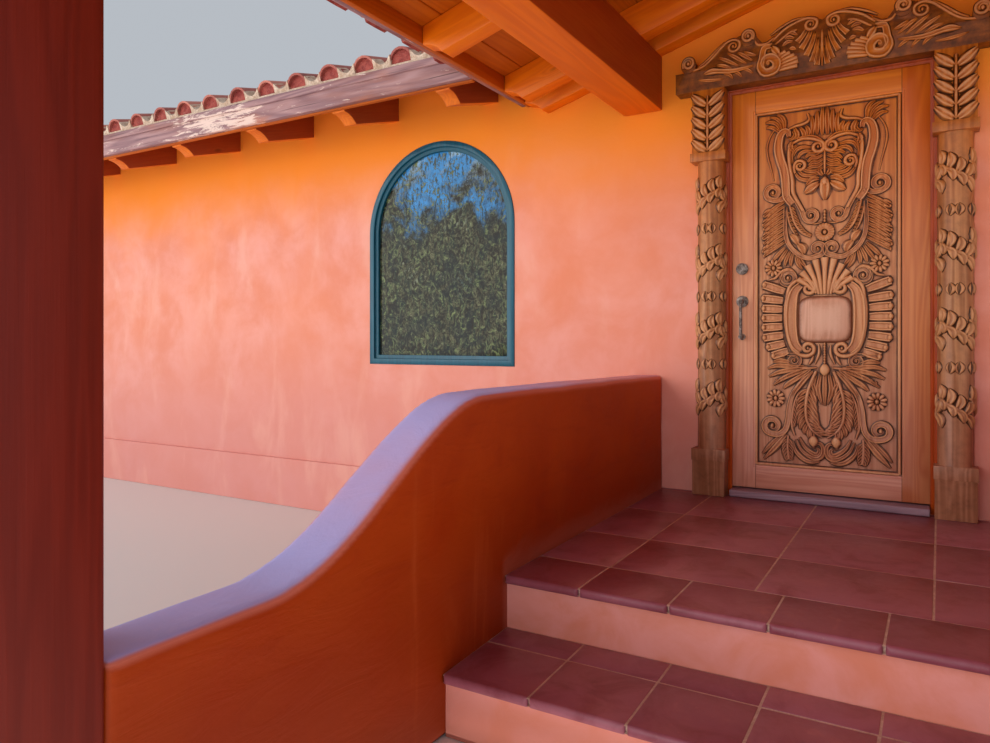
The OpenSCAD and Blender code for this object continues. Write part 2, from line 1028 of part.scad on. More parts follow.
// Radii of the round plates, the stems and the grip, and how far the stems stand out
rose_r = 30;
foot_r = 16;
stem_r = 11;
grip_r = 8;
stem_out = 50;
bolt_out = 14;
rose_t = 8;
knob_r = 27;
module door_lockset() {
    color(aged_brass) {
        translate([lock_x, leaf_y0, floor_h]) {
            lock_round(bolt_h, rose_r, bolt_out);
            lock_round(pull_hi, rose_r, rose_t);
            lock_round(pull_hi, stem_r, stem_out);
            lock_round(pull_lo, foot_r, rose_t);
            lock_round(pull_lo, stem_r, stem_out);
            translate([0, grip_r - stem_out, pull_lo - grip_r])
                cylinder(r = grip_r, h = pull_hi - pull_lo + 2 * grip_r);
        }
        // Knob and bolt handle on the inside
        translate([lock_x, leaf_y1, floor_h])
            mirror([0, 1, 0]) {
                lock_round(bolt_h, rose_r, rose_t);
                lock_round(bolt_h, stem_r, stem_out / 2);
                lock_round(pull_hi, rose_r, rose_t);
                lock_round(pull_hi, stem_r, stem_out - stem_r);
                translate([0, stem_r / 2 - stem_out, pull_hi])
                    sphere(r = knob_r);
            }
    }
}

// Three knuckles of a hinge: the outer two belong to the frame, the middle one to the door
hinge_heights = [250, 1050, 1850];
module knuckles(parts) {
    third = hinge_h / 3;
    for (h = hinge_heights)
        for (i = parts)
            translate([hinge_x, hinge_y, floor_h + h + i * third])
                cylinder(r = hinge_r, h = third - knuckle_gap);
}

module door_hinges() {
    third = hinge_h / 3;
    color(aged_brass) {
        knuckles([0, 2]);
        for (h = hinge_heights)
            for (i = [0, 2])
                box([hinge_x, leaf_y1, floor_h + h + i * third],
                    [frame_x, leaf_y1 + plate_t, floor_h + h + (i + 1) * third - knuckle_gap]);
    }
}

// Hinge plates on the door, with the middle knuckles
module door_hinge_plates() {
    third = hinge_h / 3;
    color(aged_brass) {
        knuckles([1]);
        for (h = hinge_heights)
            box([leaf_x - plate_l, leaf_y1, floor_h + h + third],
                [hinge_x, leaf_y1 + plate_t, floor_h + h + 2 * third - knuckle_gap]);
    }
}

// Column with a square base, a ring, a round shaft, a neck ring and a square capital
module column() {
    base_z = floor_h + 180;
    ring_z = base_z + 60;
    neck_z = floor_h + 1743;
    capital_z = neck_z + 45;
    ring_out = 4;
    neck_out = 8;
    shaft_y = -20;
    w = column_w / 2;
    box([-w, -header_t, floor_h], [w, 0, base_z]);
    box([-w - ring_out, -header_t - ring_out, base_z], [w + ring_out, 0, ring_z]);
    intersection() {
        translate([0, shaft_y, ring_z])
            cylinder(r = shaft_r, h = neck_z - ring_z);
        box([-far, -far, 0], [far, 0, far]);
    }
    box([-w - neck_out, -header_t - neck_out, neck_z], [w + neck_out, 0, capital_z]);
    box([-w, -header_t, capital_z], [w, 0, header_z]);
}

module door_columns() {
    color(carved_wood) {
        translate([-column_x, 0, 0])
            column();
        translate([column_x, 0, 0])
            column();
    }
}

// Right half of the header's top edge, rising in two leaves from its end to the middle
header_steps = 12;
// Places on its length: where the lower leaf starts, where the upper one starts, and its tip
leaf_one_x = header_l * 0.82;
leaf_two_x = header_l * 0.365;
leaf_tip_x = header_l * 0.072;
leaf_notch = 67;
// Heights on it: of its ends, of the lower leaf's tip, of the upper one's foot and tip, and mid
edge_z = [104, 253, 166, 272, 242];
header_edge = concat(
    [[header_l, edge_z[0]], [leaf_one_x, edge_z[0]]],
    [for (i = [1:header_steps]) let (t = i / header_steps)
        [leaf_one_x + (leaf_two_x + leaf_notch - leaf_one_x) * t,
            edge_z[0] + (edge_z[1] - edge_z[0]) * sin(90 * t)]],
    [for (i = [0:header_steps]) let (t = i / header_steps)
        [leaf_two_x + (leaf_tip_x - leaf_two_x) * t, edge_z[2] + (edge_z[3] - edge_z[2]) * sin(90 * t)]],
    [[0, edge_z[4]]]
);

// Round ends of the leaves on the header, a little proud of its face
scroll_r = 38;
scroll_out = 8;
module header_scroll(x, z) {
    translate([x, 0, z])
        rotate([90, 0, 0])
            cylinder(r = scroll_r, h = header_t + scroll_out);
}

module door_header() {
    n = len(header_edge);
    color(carved_wood)
        translate([0, 0, header_z]) {
            along_y(-header_t, 0)
                polygon(concat(
                    [[-header_l, 0], [header_l, 0]],
                    header_edge,
                    [for (i = [n - 2:-1:0]) [-header_edge[i].x, header_edge[i].y]]
                ));
            for (side = [-1, 1]) {
                header_scroll(side * (header_l - 2 * scroll_r + 6), 135);
                header_scroll(side * (leaf_two_x + 2 * scroll_r + 6), 218);
            }
        }
}

// Something made for a front-facing wall, at each window of the back and end walls
module at_rear_windows() {
    for (x = [-win_x, win_x])
        at_back()
            translate([x, 0, 0])
                children();
    for (side = [0, 1])
        mirror([side, 0, 0])
            translate([-half_l, mid_y, 0])
                rotate([0, 0, -90])
                    children();
}

module front_window_frames() {
    color(teal)
        for (x = [-win_x, win_x])
            translate([x, 0, 0])
                window_frame();
}

module front_window_glass() {
    color(glass_tint)
        for (x = [-win_x, win_x])
            translate([x, 0, 0])
                window_glass();
}

module rear_window_frames() {
    color(teal)
        at_rear_windows()
            window_frame();
}

module rear_window_glass() {
    color(glass_tint)
        at_rear_windows()
            window_glass();
}

front_wall_left();
front_wall_right();
door_head_wall();
back_wall();
left_end_wall();
right_end_wall();
floor_slab();
main_rafters();
ridge_beam();
front_deck_left();
front_deck_right();
back_deck();
front_tiles_left();
front_tiles_right();
back_tiles();
ridge_tiles();
front_fascias();
back_fascia();
barge_boards();
eave_boards();
porch_base();
porch_paving();
low_wall_left();
low_wall_right();
porch_posts();
porch_beam_left();
porch_beam_right();
porch_ridge_beam();
porch_rafters();
porch_deck_left();
porch_deck_right();
porch_tiles_left();
porch_tiles_right();
porch_ridge_tiles();
porch_fascias();
porch_eave_boards();
door_frame();
door_threshold();
door_leaf();
door_panel();
door_lockset();
door_hinges();
door_hinge_plates();
door_columns();
door_header();
front_window_frames();
front_window_glass();
rear_window_frames();
rear_window_glass();
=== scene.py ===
"""Looks of an adobe house, built around its packed CAD model."""
import math

import bpy
import numpy as np
from bpy.props import FloatProperty, FloatVectorProperty, IntProperty, PointerProperty
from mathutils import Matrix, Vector, noise


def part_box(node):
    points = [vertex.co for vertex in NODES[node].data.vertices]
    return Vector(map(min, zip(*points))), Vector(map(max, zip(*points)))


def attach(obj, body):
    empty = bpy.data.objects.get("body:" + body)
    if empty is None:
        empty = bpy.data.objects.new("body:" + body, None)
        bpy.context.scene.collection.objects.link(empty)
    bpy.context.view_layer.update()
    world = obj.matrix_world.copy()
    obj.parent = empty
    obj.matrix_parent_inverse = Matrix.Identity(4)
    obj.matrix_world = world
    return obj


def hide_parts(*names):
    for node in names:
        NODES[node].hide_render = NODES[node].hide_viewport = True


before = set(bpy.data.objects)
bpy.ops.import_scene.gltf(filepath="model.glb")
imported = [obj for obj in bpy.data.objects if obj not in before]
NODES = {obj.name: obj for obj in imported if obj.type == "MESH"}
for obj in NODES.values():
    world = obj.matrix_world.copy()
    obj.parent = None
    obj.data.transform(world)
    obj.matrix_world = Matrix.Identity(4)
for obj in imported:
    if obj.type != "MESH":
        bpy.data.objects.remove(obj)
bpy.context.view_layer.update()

bl_info = {
    "name": "Adobe house",
    "version": (1, 0, 0),
    "blender": (4, 5, 0),
    "location": "View3D > Sidebar > House",
    "description": "Stucco, clay tiles, boards, paving and a carved door on an adobe house",
    "category": "Object",
}

# Sizes of the CAD model that the pieces here follow, in metres
PITCH = math.radians(16.5)
SLOPE = math.tan(PITCH)
EAVE_OUT = 0.567
EAVE_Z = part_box("front_deck_left")[0].z
RIDGE_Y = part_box("front_tiles_left")[1].y
PORCH_EAVE = 1.66
VALLEY = PORCH_EAVE - EAVE_OUT
TILE_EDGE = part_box("front_tiles_right")[1].x
PORCH_TILE_EDGE = -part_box("porch_tiles_left")[0].y
FLOOR_Z = 0.42
PORCH_SINK = 0.0625
PORCH_TILE_X = -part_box("porch_tiles_left")[0].x
PANE = [v.co for v in NODES["front_window_glass"].data.vertices if v.co.x > 0]
WINDOW_MIDDLE = [(min(p[i] for p in PANE) + max(p[i] for p in PANE)) / 2 for i in (0, 2)]


# Materials

class Shade:
    """A shader socket that takes part in Python expressions on numbers."""

    def __init__(self, tree, socket):
        self.tree = tree
        self.socket = socket

    def math(self, operation, a, b=None):
        """One operation on two values, each a socket or a number."""
        node = self.tree.nodes.new("ShaderNodeMath")
        node.operation = operation
        for slot, value in zip(node.inputs, (a, b)):
            if isinstance(value, Shade):
                self.tree.links.new(value.socket, slot)
            elif value is not None:
                slot.default_value = value
        return Shade(self.tree, node.outputs[0])

    def __add__(self, other):
        return self.math("ADD", self, other)

    def __radd__(self, other):
        return self.math("ADD", other, self)

    def __sub__(self, other):
        return self.math("SUBTRACT", self, other)

    def __rsub__(self, other):
        return self.math("SUBTRACT", other, self)

    def __mul__(self, other):
        return self.math("MULTIPLY", self, other)

    def __rmul__(self, other):
        return self.math("MULTIPLY", other, self)

    def abs(self):
        return self.math("ABSOLUTE", self)

    def top(self, other):
        """The larger of the two."""
        return self.math("MAXIMUM", self, other)

    def sine(self):
        return self.math("SINE", self, 0)

    def angle(self, across):
        """The bearing of a point this far up and that far across."""
        return self.math("ARCTAN2", self, across)

    def fract(self):
        return self.math("FRACT", self)

    def step(self, lo, hi):
        """0 below lo, 1 above hi, smooth between; the other way round where lo is the higher."""
        node = self.tree.nodes.new("ShaderNodeMapRange")
        node.interpolation_type = "SMOOTHSTEP"
        node.inputs["From Min"].default_value = min(lo, hi)
        node.inputs["From Max"].default_value = max(lo, hi)
        if lo > hi:
            node.inputs["To Min"].default_value = 1
            node.inputs["To Max"].default_value = 0
        self.tree.links.new(self.socket, node.inputs["Value"])
        return Shade(self.tree, node.outputs["Result"])


class Finish:
    """One material: its node tree, its shader and the nodes that feed it."""

    def __init__(self, name, roughness=0.6, **fixed):
        self.material = bpy.data.materials.new(name)
        self.material.use_nodes = True
        self.tree = self.material.node_tree
        self.shader = self.tree.nodes["Principled BSDF"]
        self.shader.inputs["Roughness"].default_value = roughness
        for socket, value in fixed.items():
            self.shader.inputs[socket.replace("_", " ")].default_value = value

    def node(self, kind, settings=None, output=0, **sockets):
        """Adds a node, sets its settings first, then the values or links of its sockets."""
        node = self.tree.nodes.new("ShaderNode" + kind)
        for key, value in (settings or {}).items():
            setattr(node, key, value)
        for key, value in sockets.items():
            socket = node.inputs[int(key[1:]) if key[1:].isdigit() else key.replace("_", " ")]
            if isinstance(value, Shade):
                self.tree.links.new(value.socket, socket)
            else:
                socket.default_value = value
        return Shade(self.tree, node.outputs[output])

    def place(self, scale=(1, 1, 1), turn=(0, 0, 0), shift=(0, 0, 0), of=None):
        """Object coordinates in metres, or another vector, moved, turned and scaled."""
        here = of or self.node("TexCoord", output=3)
        return self.node("Mapping", Vector=here, Scale=scale, Rotation=turn, Location=shift)

    def value(self, name):
        """A number that a piece keeps on its vertices."""
        return self.node("Attribute", {"attribute_name": name}, output=2)

    def axes(self, vector=None):
        """The three numbers of a vector."""
        vector = vector or self.node("TexCoord", output=3)
        return [self.node("SeparateXYZ", output=i, Vector=vector) for i in range(3)]

    def noise(self, vector, scale, detail=3, rough=0.55, warp=0.0):
        """Clouds between 0 and 1, most of them near the middle."""
        return self.node("TexNoise", Vector=vector, Scale=scale, Detail=detail, Roughness=rough,
                         Distortion=warp)

    def mix(self, mask, a, b):
        """Colour a where the mask is 0, colour b where it is 1."""
        return self.node("Mix", {"data_type": "RGBA"}, output=2, i0=mask, i6=a, i7=b)

    def tint(self, mask, color, tone):
        """The colour times a tone, where the mask is 1."""
        return self.node("Mix", {"data_type": "RGBA", "blend_type": "MULTIPLY"}, output=2, i0=mask,
                         i6=color, i7=tone)

    def facing(self):
        """The three numbers of the direction that the surface faces."""
        return self.axes(self.node("NewGeometry", output=1))

    def grain(self):
        """Where a point lies in the board that its piece was cut from."""
        return self.node("Attribute", {"attribute_name": "grain"}, output=1)

    def wear(self, socket, value):
        """The shader's socket takes this value, in place of one that it took before."""
        self.tree.links.new(value.socket, self.shader.inputs[socket])

    def worn(self, socket="Base Color"):
        """What the shader's socket takes so far."""
        return Shade(self.tree, self.shader.inputs[socket].links[0].from_socket)

    def bump(self, height, distance, strength=1.0):
        """Unevenness as high as the distance where the height is 1."""
        self.wear("Normal", self.node("Bump", Height=height, Distance=distance, Strength=strength))


def rgb(r, g, b):
    """A colour written as on screen, 0 to 255, as the shader takes it."""
    return tuple((c / 255 / 12.92 if c <= 10 else ((c / 255 + 0.055) / 1.055) ** 2.4)
                 for c in (r, g, b)) + (1,)


def stucco():
    """Lime plaster: salmon lower down, cloudy and faintly streaked, with painted warm bounce
    light that turns it orange under the eaves.
    """
    f = Finish("stucco", 0.85)
    here = f.place()
    z = f.axes(here)[2]
    clouds = f.noise(here, 0.75, 4, 0.6, 0.4)
    patches = f.noise(here, 2.6, 5, 0.62, 0.3)
    streaks = f.noise(f.place((1.5, 1.5, 0.5)), 2.0, 5, 0.6, 0.4)
    grain = f.noise(here, 55, 4, 0.65)
    # Painted warm bounce light: orange under the eaves
    high = (z + clouds * 0.6).step(2.15, 2.85)
    low = (z - clouds * 0.9).step(1.1, -0.1)
    color = f.mix(patches.step(0.3, 0.72), rgb(222, 137, 112), rgb(232, 161, 148))
    color = f.mix(clouds.step(0.35, 0.7) * 0.5, color, rgb(232, 138, 94))
    color = f.mix(low * 0.7, color, rgb(212, 142, 138))
    color = f.mix(streaks.step(0.5, 0.72) * 0.4, color, rgb(236, 179, 163))
    color = f.mix(high * 0.95, color, rgb(250, 142, 22))
    color = f.mix(grain.step(0.35, 0.2) * 0.3, color, rgb(206, 104, 56))
    f.wear("Base Color", color)
    f.bump(patches * 0.7 + grain * 0.12 + clouds * 0.5, 0.012, 0.5)
    return f.material


def porch_plaster():
    """Burnt orange plaster, burnished by hands, its rubbed patches partly painted as sheen; its
    tops bleached by the sun and painted paler with sky light, bluish beyond the porch roof, and its
    sloping shoulders painted lighter, as painted sky light.
    """
    f = Finish("porch_plaster", 0.5, Specular_IOR_Level=0.25)
    here = f.place()
    up = f.facing()[2]
    _, y, z = f.axes(here)
    patches = f.noise(here, 2.6, 5, 0.62, 0.5)
    smears = f.noise(f.place((2.0, 1.0, 4.0)), 3.0, 5, 0.65, 0.8)
    grain = f.noise(here, 90, 3, 0.6)
    rubs_and_sheen = f.noise(f.place((4, 4, 0.9)), 1.0, 5, 0.65, 0.6)
    # The ends beyond the porch roof, where the painted sky light on the tops turns bluish
    lit_end = y.step(-0.6, -1.9)
    beside_landing = y.step(-1.76, -1.72) * (z - smears * 0.1).step(0.46, 0.37)
    color = f.mix(patches.step(0.3, 0.7), rgb(172, 56, 2), rgb(192, 74, 6))
    color = f.mix(smears.step(0.5, 0.75) * 0.5, color, rgb(160, 48, 6))
    color = f.mix((z + patches * 0.3).step(0.75, 1.2) * 0.35, color, rgb(200, 84, 40))
    color = f.mix((z - patches * 0.3).step(0.75, 0.1) * 0.8, color, rgb(136, 42, 0))
    # Lighter patches: rubbed plaster with painted sheen
    color = f.mix(rubs_and_sheen.step(0.55, 0.75) * 0.4, color, rgb(196, 96, 44))
    color = f.mix(beside_landing * 0.6, color, rgb(176, 96, 76))
    color = f.mix((z - patches * 0.1).step(0.2, 0.0) * 0.5, color, rgb(116, 40, 10))
    # Tops: bleached by the sun, and painted paler and then bluish with sky light
    faded_and_skylit = up.step(0.55, 0.9)
    color = f.mix(faded_and_skylit * (0.75 + smears * 0.25), color, rgb(212, 158, 172))
    color = f.mix(faded_and_skylit * lit_end * (0.75 + smears * 0.2), color, rgb(180, 190, 255))
    # Sloping shoulders painted lighter, as painted sky light
    color = f.mix(up.step(0.12, 0.5) * up.step(0.95, 0.6) * 0.7, color, rgb(228, 136, 116))
    f.wear("Base Color", color)
    f.wear("Roughness", 0.42 + patches * 0.3)
    f.bump(smears * 0.8 + patches * 0.6 + grain * 0.06, 0.01, 0.5)
    return f.material


def riser_plaster():
    """Salmon plaster of the risers, darker towards their foot."""
    f = Finish("riser_plaster", 0.7)
    here = f.place()
    patches = f.noise(here, 4.0, 5, 0.6, 0.5)
    grain = f.noise(here, 80, 3, 0.6)
    z = f.axes(here)[2]
    color = f.mix(patches.step(0.3, 0.7), rgb(220, 134, 110), rgb(230, 154, 146))
    color = f.mix(z.step(0.2, 0.1) * 0.55, color, rgb(186, 108, 90))
    color = f.mix(z.step(0.07, 0.0) * 0.5, color, rgb(150, 84, 68))
    f.wear("Base Color", color)
    f.bump(patches + grain * 0.1, 0.008, 0.5)
    return f.material


def floor_screed():
    """Trowelled floor of the room."""
    f = Finish("floor_screed", 0.75)
    here = f.place()
    patches = f.noise(here, 1.3, 5, 0.6, 0.6)
    arcs = f.noise(f.place((1, 3, 1), (0, 0, 0.5)), 1.5, 4, 0.6, 2.0)
    color = f.mix(patches.step(0.3, 0.7), rgb(196, 158, 134), rgb(214, 180, 156))
    color = f.mix(arcs.step(0.55, 0.75) * 0.4, color, rgb(178, 140, 118))
    f.wear("Base Color", color)
    f.wear("Roughness", 0.6 + arcs * 0.3)
    f.bump(arcs + patches, 0.004, 0.4)
    return f.material


def wood(name, dark, light, knot, roughness=0.5, lines=1.0, side=None, aged=False, rails=None):
    """Stained wood, its grain along the first of the numbers that each board keeps; where a
    side colour is given, the faces to the left and right are painted darker with it, as painted
    shade. Where asked, the wood is painted warmer orange near the top, as painted warm light, and
    greyer and bluer lower down. Rails, given as half their length and the heights below and above
    which they lie, have a level grain, dark joints at their ends and a darker stile to their
    right."""
    f = Finish(name, roughness)
    board = f.grain()
    tone = f.value("tone")
    if rails:
        half, low, high = rails
        x, _, z = f.axes()
        between = (x.abs()).step(half + 0.0005, half - 0.0005)
        level = between * z.step(low + 0.02, low).top(z.step(high - 0.02, high))
        board = f.mix(level, board, f.place())
        joint = (x.abs() - half).abs().step(0.003, 0.001)
        joint = joint * z.step(low + 0.01, low).top(z.step(high - 0.01, high))
    cells = f.node("TexVoronoi", {"feature": "F1"}, output=0, Scale=1.0, Randomness=1.0,
                   Vector=f.place((1.5, 4.2, 4.2), of=board))
    near_knot = cells.step(0.2, 0.03)
    sweep = f.noise(f.place((0.35, 4.5, 4.5), of=board), 1.0, 3, 0.5, 0.3)
    rings = (sweep * 95 + near_knot * 9).sine() * 0.5 + 0.5
    fibre = f.noise(f.place((3.5, 130, 130), of=board), 1.0, 3, 0.6)
    broad = f.noise(f.place((0.8, 7, 7), of=board), 1.0, 4, 0.6)
    shade = rings * 0.4 * lines + fibre * 0.35 + broad * 0.5
    color = f.mix(shade.step(0.15, 1.0), dark, light)
    color = f.mix((tone - 0.5).abs() * 0.5, color, f.mix(tone.step(0.45, 0.55), dark, light))
    # Painted shade: the faces to the left and right take the darker side colour
    if side:
        across = f.facing()[0].abs()
        color = f.mix(across.step(0.6, 0.9) * (0.7 + fibre * 0.25), color, side)
    # Painted warm light near the top; greyer and bluer lower down
    if aged:
        height = f.axes()[2] + broad * 0.5
        color = f.tint(height.step(1.75, 2.7), color, rgb(255, 205, 90))
        color = f.tint(height.step(1.6, 0.9), color, rgb(228, 222, 255))
    if rails:
        color = f.tint(x.step(half - 0.002, half + 0.002) * 0.8, color, rgb(226, 190, 120))
        color = f.mix(joint * 0.7, color, knot)
    color = f.mix(cells.step(0.085, 0.03), color, knot)
    f.wear("Base Color", color)
    f.wear("Roughness", roughness - 0.08 + fibre * 0.2)
    f.bump(rings * 0.25 * lines + fibre * 0.5 + cells.step(0.03, 0.09) * 0.5, 0.0016, 0.6)
    return f


def weathered():
    """Bare grey boards with flakes of pale old paint and red-brown stain left on them."""
    f = wood("grey_boards", rgb(122, 90, 98), rgb(180, 142, 142), rgb(84, 58, 54), 0.85, 0.8)
    board = f.grain()
    x = f.axes()[0]
    cracks = f.noise(f.place((1.3, 60, 60), of=board), 1.0, 4, 0.65)
    flakes = f.noise(f.place((3.0, 20, 20), of=board), 1.6, 6, 0.74, 0.4)
    where = f.noise(f.place((0.9, 2, 2), (0, 0, 0), (3, 1, 2), board), 1.0, 3, 0.6)
    stain = f.noise(f.place((1.2, 9, 9), (0, 0, 0), (7, 3, 5), board), 1.0, 4, 0.6)
    worn = (x.step(-4.4, -4.0) * x.step(-3.1, -3.5)).top(x.step(0.5, 1.5))
    color = f.mix(stain.step(0.45, 0.7) * 0.6, f.worn(), rgb(134, 80, 68))
    color = f.mix((where + stain * 0.3).step(0.66, 0.82) * 0.7, color, rgb(206, 122, 72))
    color = f.mix(stain.step(0.42, 0.3) * 0.5, color, rgb(96, 70, 82))
    pale = (flakes + where * 0.2 + worn * 0.12).step(0.7, 0.75)
    color = f.mix(pale * 0.85, color, rgb(232, 206, 194))
    color = f.mix(cracks.step(0.42, 0.3) * 0.75, color, rgb(66, 40, 40))
    f.wear("Base Color", color)
    return f.material


def clay():
    """Clay barrel tiles, each fired to its own tone, with soot and pale dust."""
    f = Finish("clay_tile", 0.85)
    here = f.place()
    tone = f.value("tone")
    stains = f.noise(here, 5.0, 5, 0.65, 0.6)
    dust = f.noise(here, 17, 4, 0.7)
    grain = f.noise(here, 220, 3, 0.6)
    color = f.mix(tone, rgb(154, 80, 74), rgb(200, 124, 108))
    color = f.mix((tone * 7.3).fract().step(0.75, 0.95) * 0.6, color, rgb(226, 164, 130))
    color = f.mix(stains.step(0.5, 0.75) * 0.7, color, rgb(98, 54, 50))
    color = f.mix(dust.step(0.58, 0.75) * 0.45, color, rgb(214, 190, 176))
    f.wear("Base Color", color)
    f.bump(grain * 0.2 + dust * 0.6 + stains * 0.4, 0.003, 0.6)
    return f.material


def mortar(name, dark, light, crack):
    """Lumpy mortar with grains of sand and fine cracks."""
    f = Finish(name, 0.9)
    here = f.place()
    lumps = f.noise(here, 22, 5, 0.65, 0.5)
    sand = f.noise(here, 160, 4, 0.7)
    cells = f.node("TexVoronoi", {"feature": "DISTANCE_TO_EDGE"}, output=0,
                   Vector=f.place((14, 14, 14)))
    color = f.mix(lumps.step(0.35, 0.65), dark, light)
    color = f.mix(sand.step(0.6, 0.75) * 0.5, color, crack)
    color = f.mix(cells.step(0.035, 0.0) * 0.5, color, crack)
    f.wear("Base Color", color)
    f.bump(lumps + sand * 0.3 + cells.step(0.0, 0.04) * 0.3, 0.006, 0.8)
    return f.material


def paving_glaze():
    """Sealed brick-red floor tiles, each with its own clouds."""
    f = Finish("paving", 0.32, Coat_Weight=0.25, Coat_Roughness=0.25)
    here = f.place()
    tone = f.value("tone")
    clouds = f.noise(here, 6.5, 5, 0.62, 0.8)
    fine = f.noise(here, 45, 4, 0.65)
    color = f.mix(tone, rgb(140, 74, 92), rgb(164, 98, 114))
    color = f.mix(clouds.step(0.42, 0.72) * 0.7, color, rgb(124, 54, 66))
    color = f.mix(clouds.step(0.4, 0.2) * 0.5, color, rgb(186, 112, 110))
    color = f.mix(fine.step(0.62, 0.8) * 0.3, color, rgb(200, 140, 128))
    f.wear("Base Color", color)
    f.wear("Roughness", 0.24 + fine * 0.22 + clouds * 0.1)
    f.bump(clouds * 0.8 + fine * 0.15, 0.002, 0.5)
    return f.material


def carved(name, hollow, mid, crest):
    """Oiled carved wood, with painted shade in the hollows where the knife went deep and painted
    highlights on the crests.
    """
    f = wood(name, mid, crest, rgb(70, 38, 20), 0.42, 0.6, aged=True)
    shade_and_highlight = f.value("shade_and_highlight")
    here = f.place()
    shade_blotches = f.noise(here, 26, 4, 0.65)
    nicks_and_glints = f.noise(here, 120, 3, 0.6)
    # Painted shade in the hollows, where the carving lies low among its neighbours
    deep = (shade_and_highlight + shade_blotches * 0.3 - 0.15).step(0.42, 0.1)
    color = f.mix(deep * 0.95, f.worn(), hollow)
    # Painted highlight on the crests
    color = f.mix((shade_and_highlight + nicks_and_glints * 0.3).step(0.72, 1.15) * 0.65, color, crest)
    f.wear("Base Color", color)
    f.bump(nicks_and_glints * 0.5 + shade_blotches * 0.5, 0.0016, 0.6)
    return f.material


def brass():
    """Brass gone grey, with darker blooms."""
    f = Finish("aged_brass", 0.42, Metallic=0.6)
    here = f.place()
    tarnish = f.noise(here, 60, 5, 0.65, 0.5)
    color = f.mix(tarnish.step(0.35, 0.65), rgb(168, 156, 148), rgb(84, 70, 64))
    f.wear("Base Color", color)
    f.wear("Roughness", 0.3 + tarnish * 0.3)
    f.bump(tarnish, 0.0006, 0.5)
    return f.material


def teal_paint():
    """Glossy paint with brush marks and dust."""
    f = Finish("teal_paint", 0.35)
    here = f.place()
    brushed = f.noise(f.place((30, 30, 2)), 3.0, 4, 0.6)
    dust = f.noise(here, 9, 5, 0.65, 0.4)
    color = f.mix(brushed.step(0.3, 0.7), rgb(2, 72, 94), rgb(6, 88, 110))
    color = f.mix(dust.step(0.58, 0.8) * 0.25, color, rgb(60, 122, 132))
    f.wear("Base Color", color)
    f.wear("Roughness", 0.3 + dust * 0.2)
    f.bump(brushed, 0.0007, 0.5)
    return f.material


def dark_glass():
    """Window glass, painted dark for the unlit room behind it and painted with reflections: dark
    green-grey mottling, blue and bright patches near its top, fine crossing streaks and pale
    rays round its middle."""
    f = Finish("window_glass", 0.08, Specular_IOR_Level=0.15)
    here = f.place()
    x, _, z = f.axes(here)
    waves = f.noise(here, 2.4, 3, 0.5, 0.4)
    fine = f.noise(f.place((1, 1, 0.8)), 26, 6, 0.75, 1.5)
    broad = f.noise(here, 4.5, 4, 0.6, 0.8)
    high = (z * 0.55 + broad * 0.8 + fine * 0.3).step(1.68, 1.86)
    out = x.abs() - WINDOW_MIDDLE[0]
    up = z - WINDOW_MIDDLE[1]
    rays = (up.angle(out) * 33 + fine * 16 + broad * 9).sine() * 0.5 + 0.5
    near = (out * out + up * up).step(0.3, 0.0) * waves.step(0.42, 0.56)
    streaks = f.noise(f.place((64, 20, 15), (0, 0.6, 0)), 1.0, 4, 0.6, 0.8).top(
        f.noise(f.place((64, 20, 15), (0, -0.7, 0), (3, 0, 0)), 1.0, 4, 0.6, 0.8))
    # Every colour below is painted: the dark of the unlit room and reflections on the glass
    color = f.mix(fine.step(0.42, 0.6), rgb(30, 28, 22), rgb(96, 98, 72))
    color = f.mix(broad.step(0.45, 0.62) * 0.55, color, rgb(22, 34, 40))
    color = f.mix(fine.step(0.6, 0.68) * 0.8, color, rgb(178, 184, 166))
    # Painted reflection of the sky near the top
    color = f.mix(high * fine.step(0.6, 0.52) * 0.95, color,
                  f.mix(broad.step(0.5, 0.36), rgb(62, 146, 214), rgb(170, 216, 248)))
    color = f.mix((near * rays).step(0.45, 0.9) * fine.step(0.44, 0.56) * 0.6, color,
                  f.mix(broad.step(0.4, 0.6), rgb(150, 164, 142), rgb(84, 112, 106)))
    color = f.mix((streaks * 0.7 + fine * 0.6).step(0.68, 0.73) * 0.9, color,
                  f.mix(fine.step(0.5, 0.68), rgb(20, 36, 38), rgb(120, 136, 84)))
    f.wear("Base Color", color)
    f.wear("Roughness", 0.06 + waves.step(0.5, 0.8) * 0.07)
    f.bump(waves, 0.002, 0.3)
    return f.material


# Name, dark and light stain, knots, roughness, strength of the growth rings and, where given,
# the colour of the painted shade on the sides
WOODS = {
    "timber": ("orange_timber", (206, 94, 14), (240, 132, 28), (110, 40, 10), 0.5, 0.6,
               (128, 40, 20)),
    "board": ("roof_boards", (174, 77, 0), (206, 107, 2), (92, 32, 0), 0.5, 0.6),
    "beam": ("beam_timber", (218, 97, 0), (248, 131, 2), (96, 32, 0), 0.45, 0.6,
             (146, 42, 6)),
    "post": ("post_timber", (104, 20, 4), (128, 32, 12), (40, 10, 4), 0.5, 0.8),
    "sill": ("sill_timber", (124, 96, 112), (164, 134, 150), (70, 44, 44), 0.5, 0.6),
    "jamb": ("jamb_timber", (142, 46, 4), (186, 76, 10), (80, 30, 4), 0.4, 0.6),
}
# Name and colours of the painted shade in the hollows, the cut wood and the painted
# highlight on its crests
CARVED = {
    "carving": ("carved_panel", (58, 26, 12), (170, 99, 55), (222, 161, 112)),
    "column": ("carved_column", (54, 27, 14), (150, 90, 48), (216, 156, 106)),
    "cushion": ("worn_cushion", (120, 68, 44), (190, 128, 96), (228, 178, 152)),
}
# Name, dark and light colour, and the colour of cracks and sand
MORTARS = {
    "cream": ("cream_mortar", (196, 166, 142), (226, 204, 184), (150, 118, 98)),
    "red": ("red_mortar", (136, 52, 48), (172, 82, 72), (206, 136, 124)),
    "grout": ("grout", (186, 150, 134), (206, 172, 156), (150, 112, 100)),
}
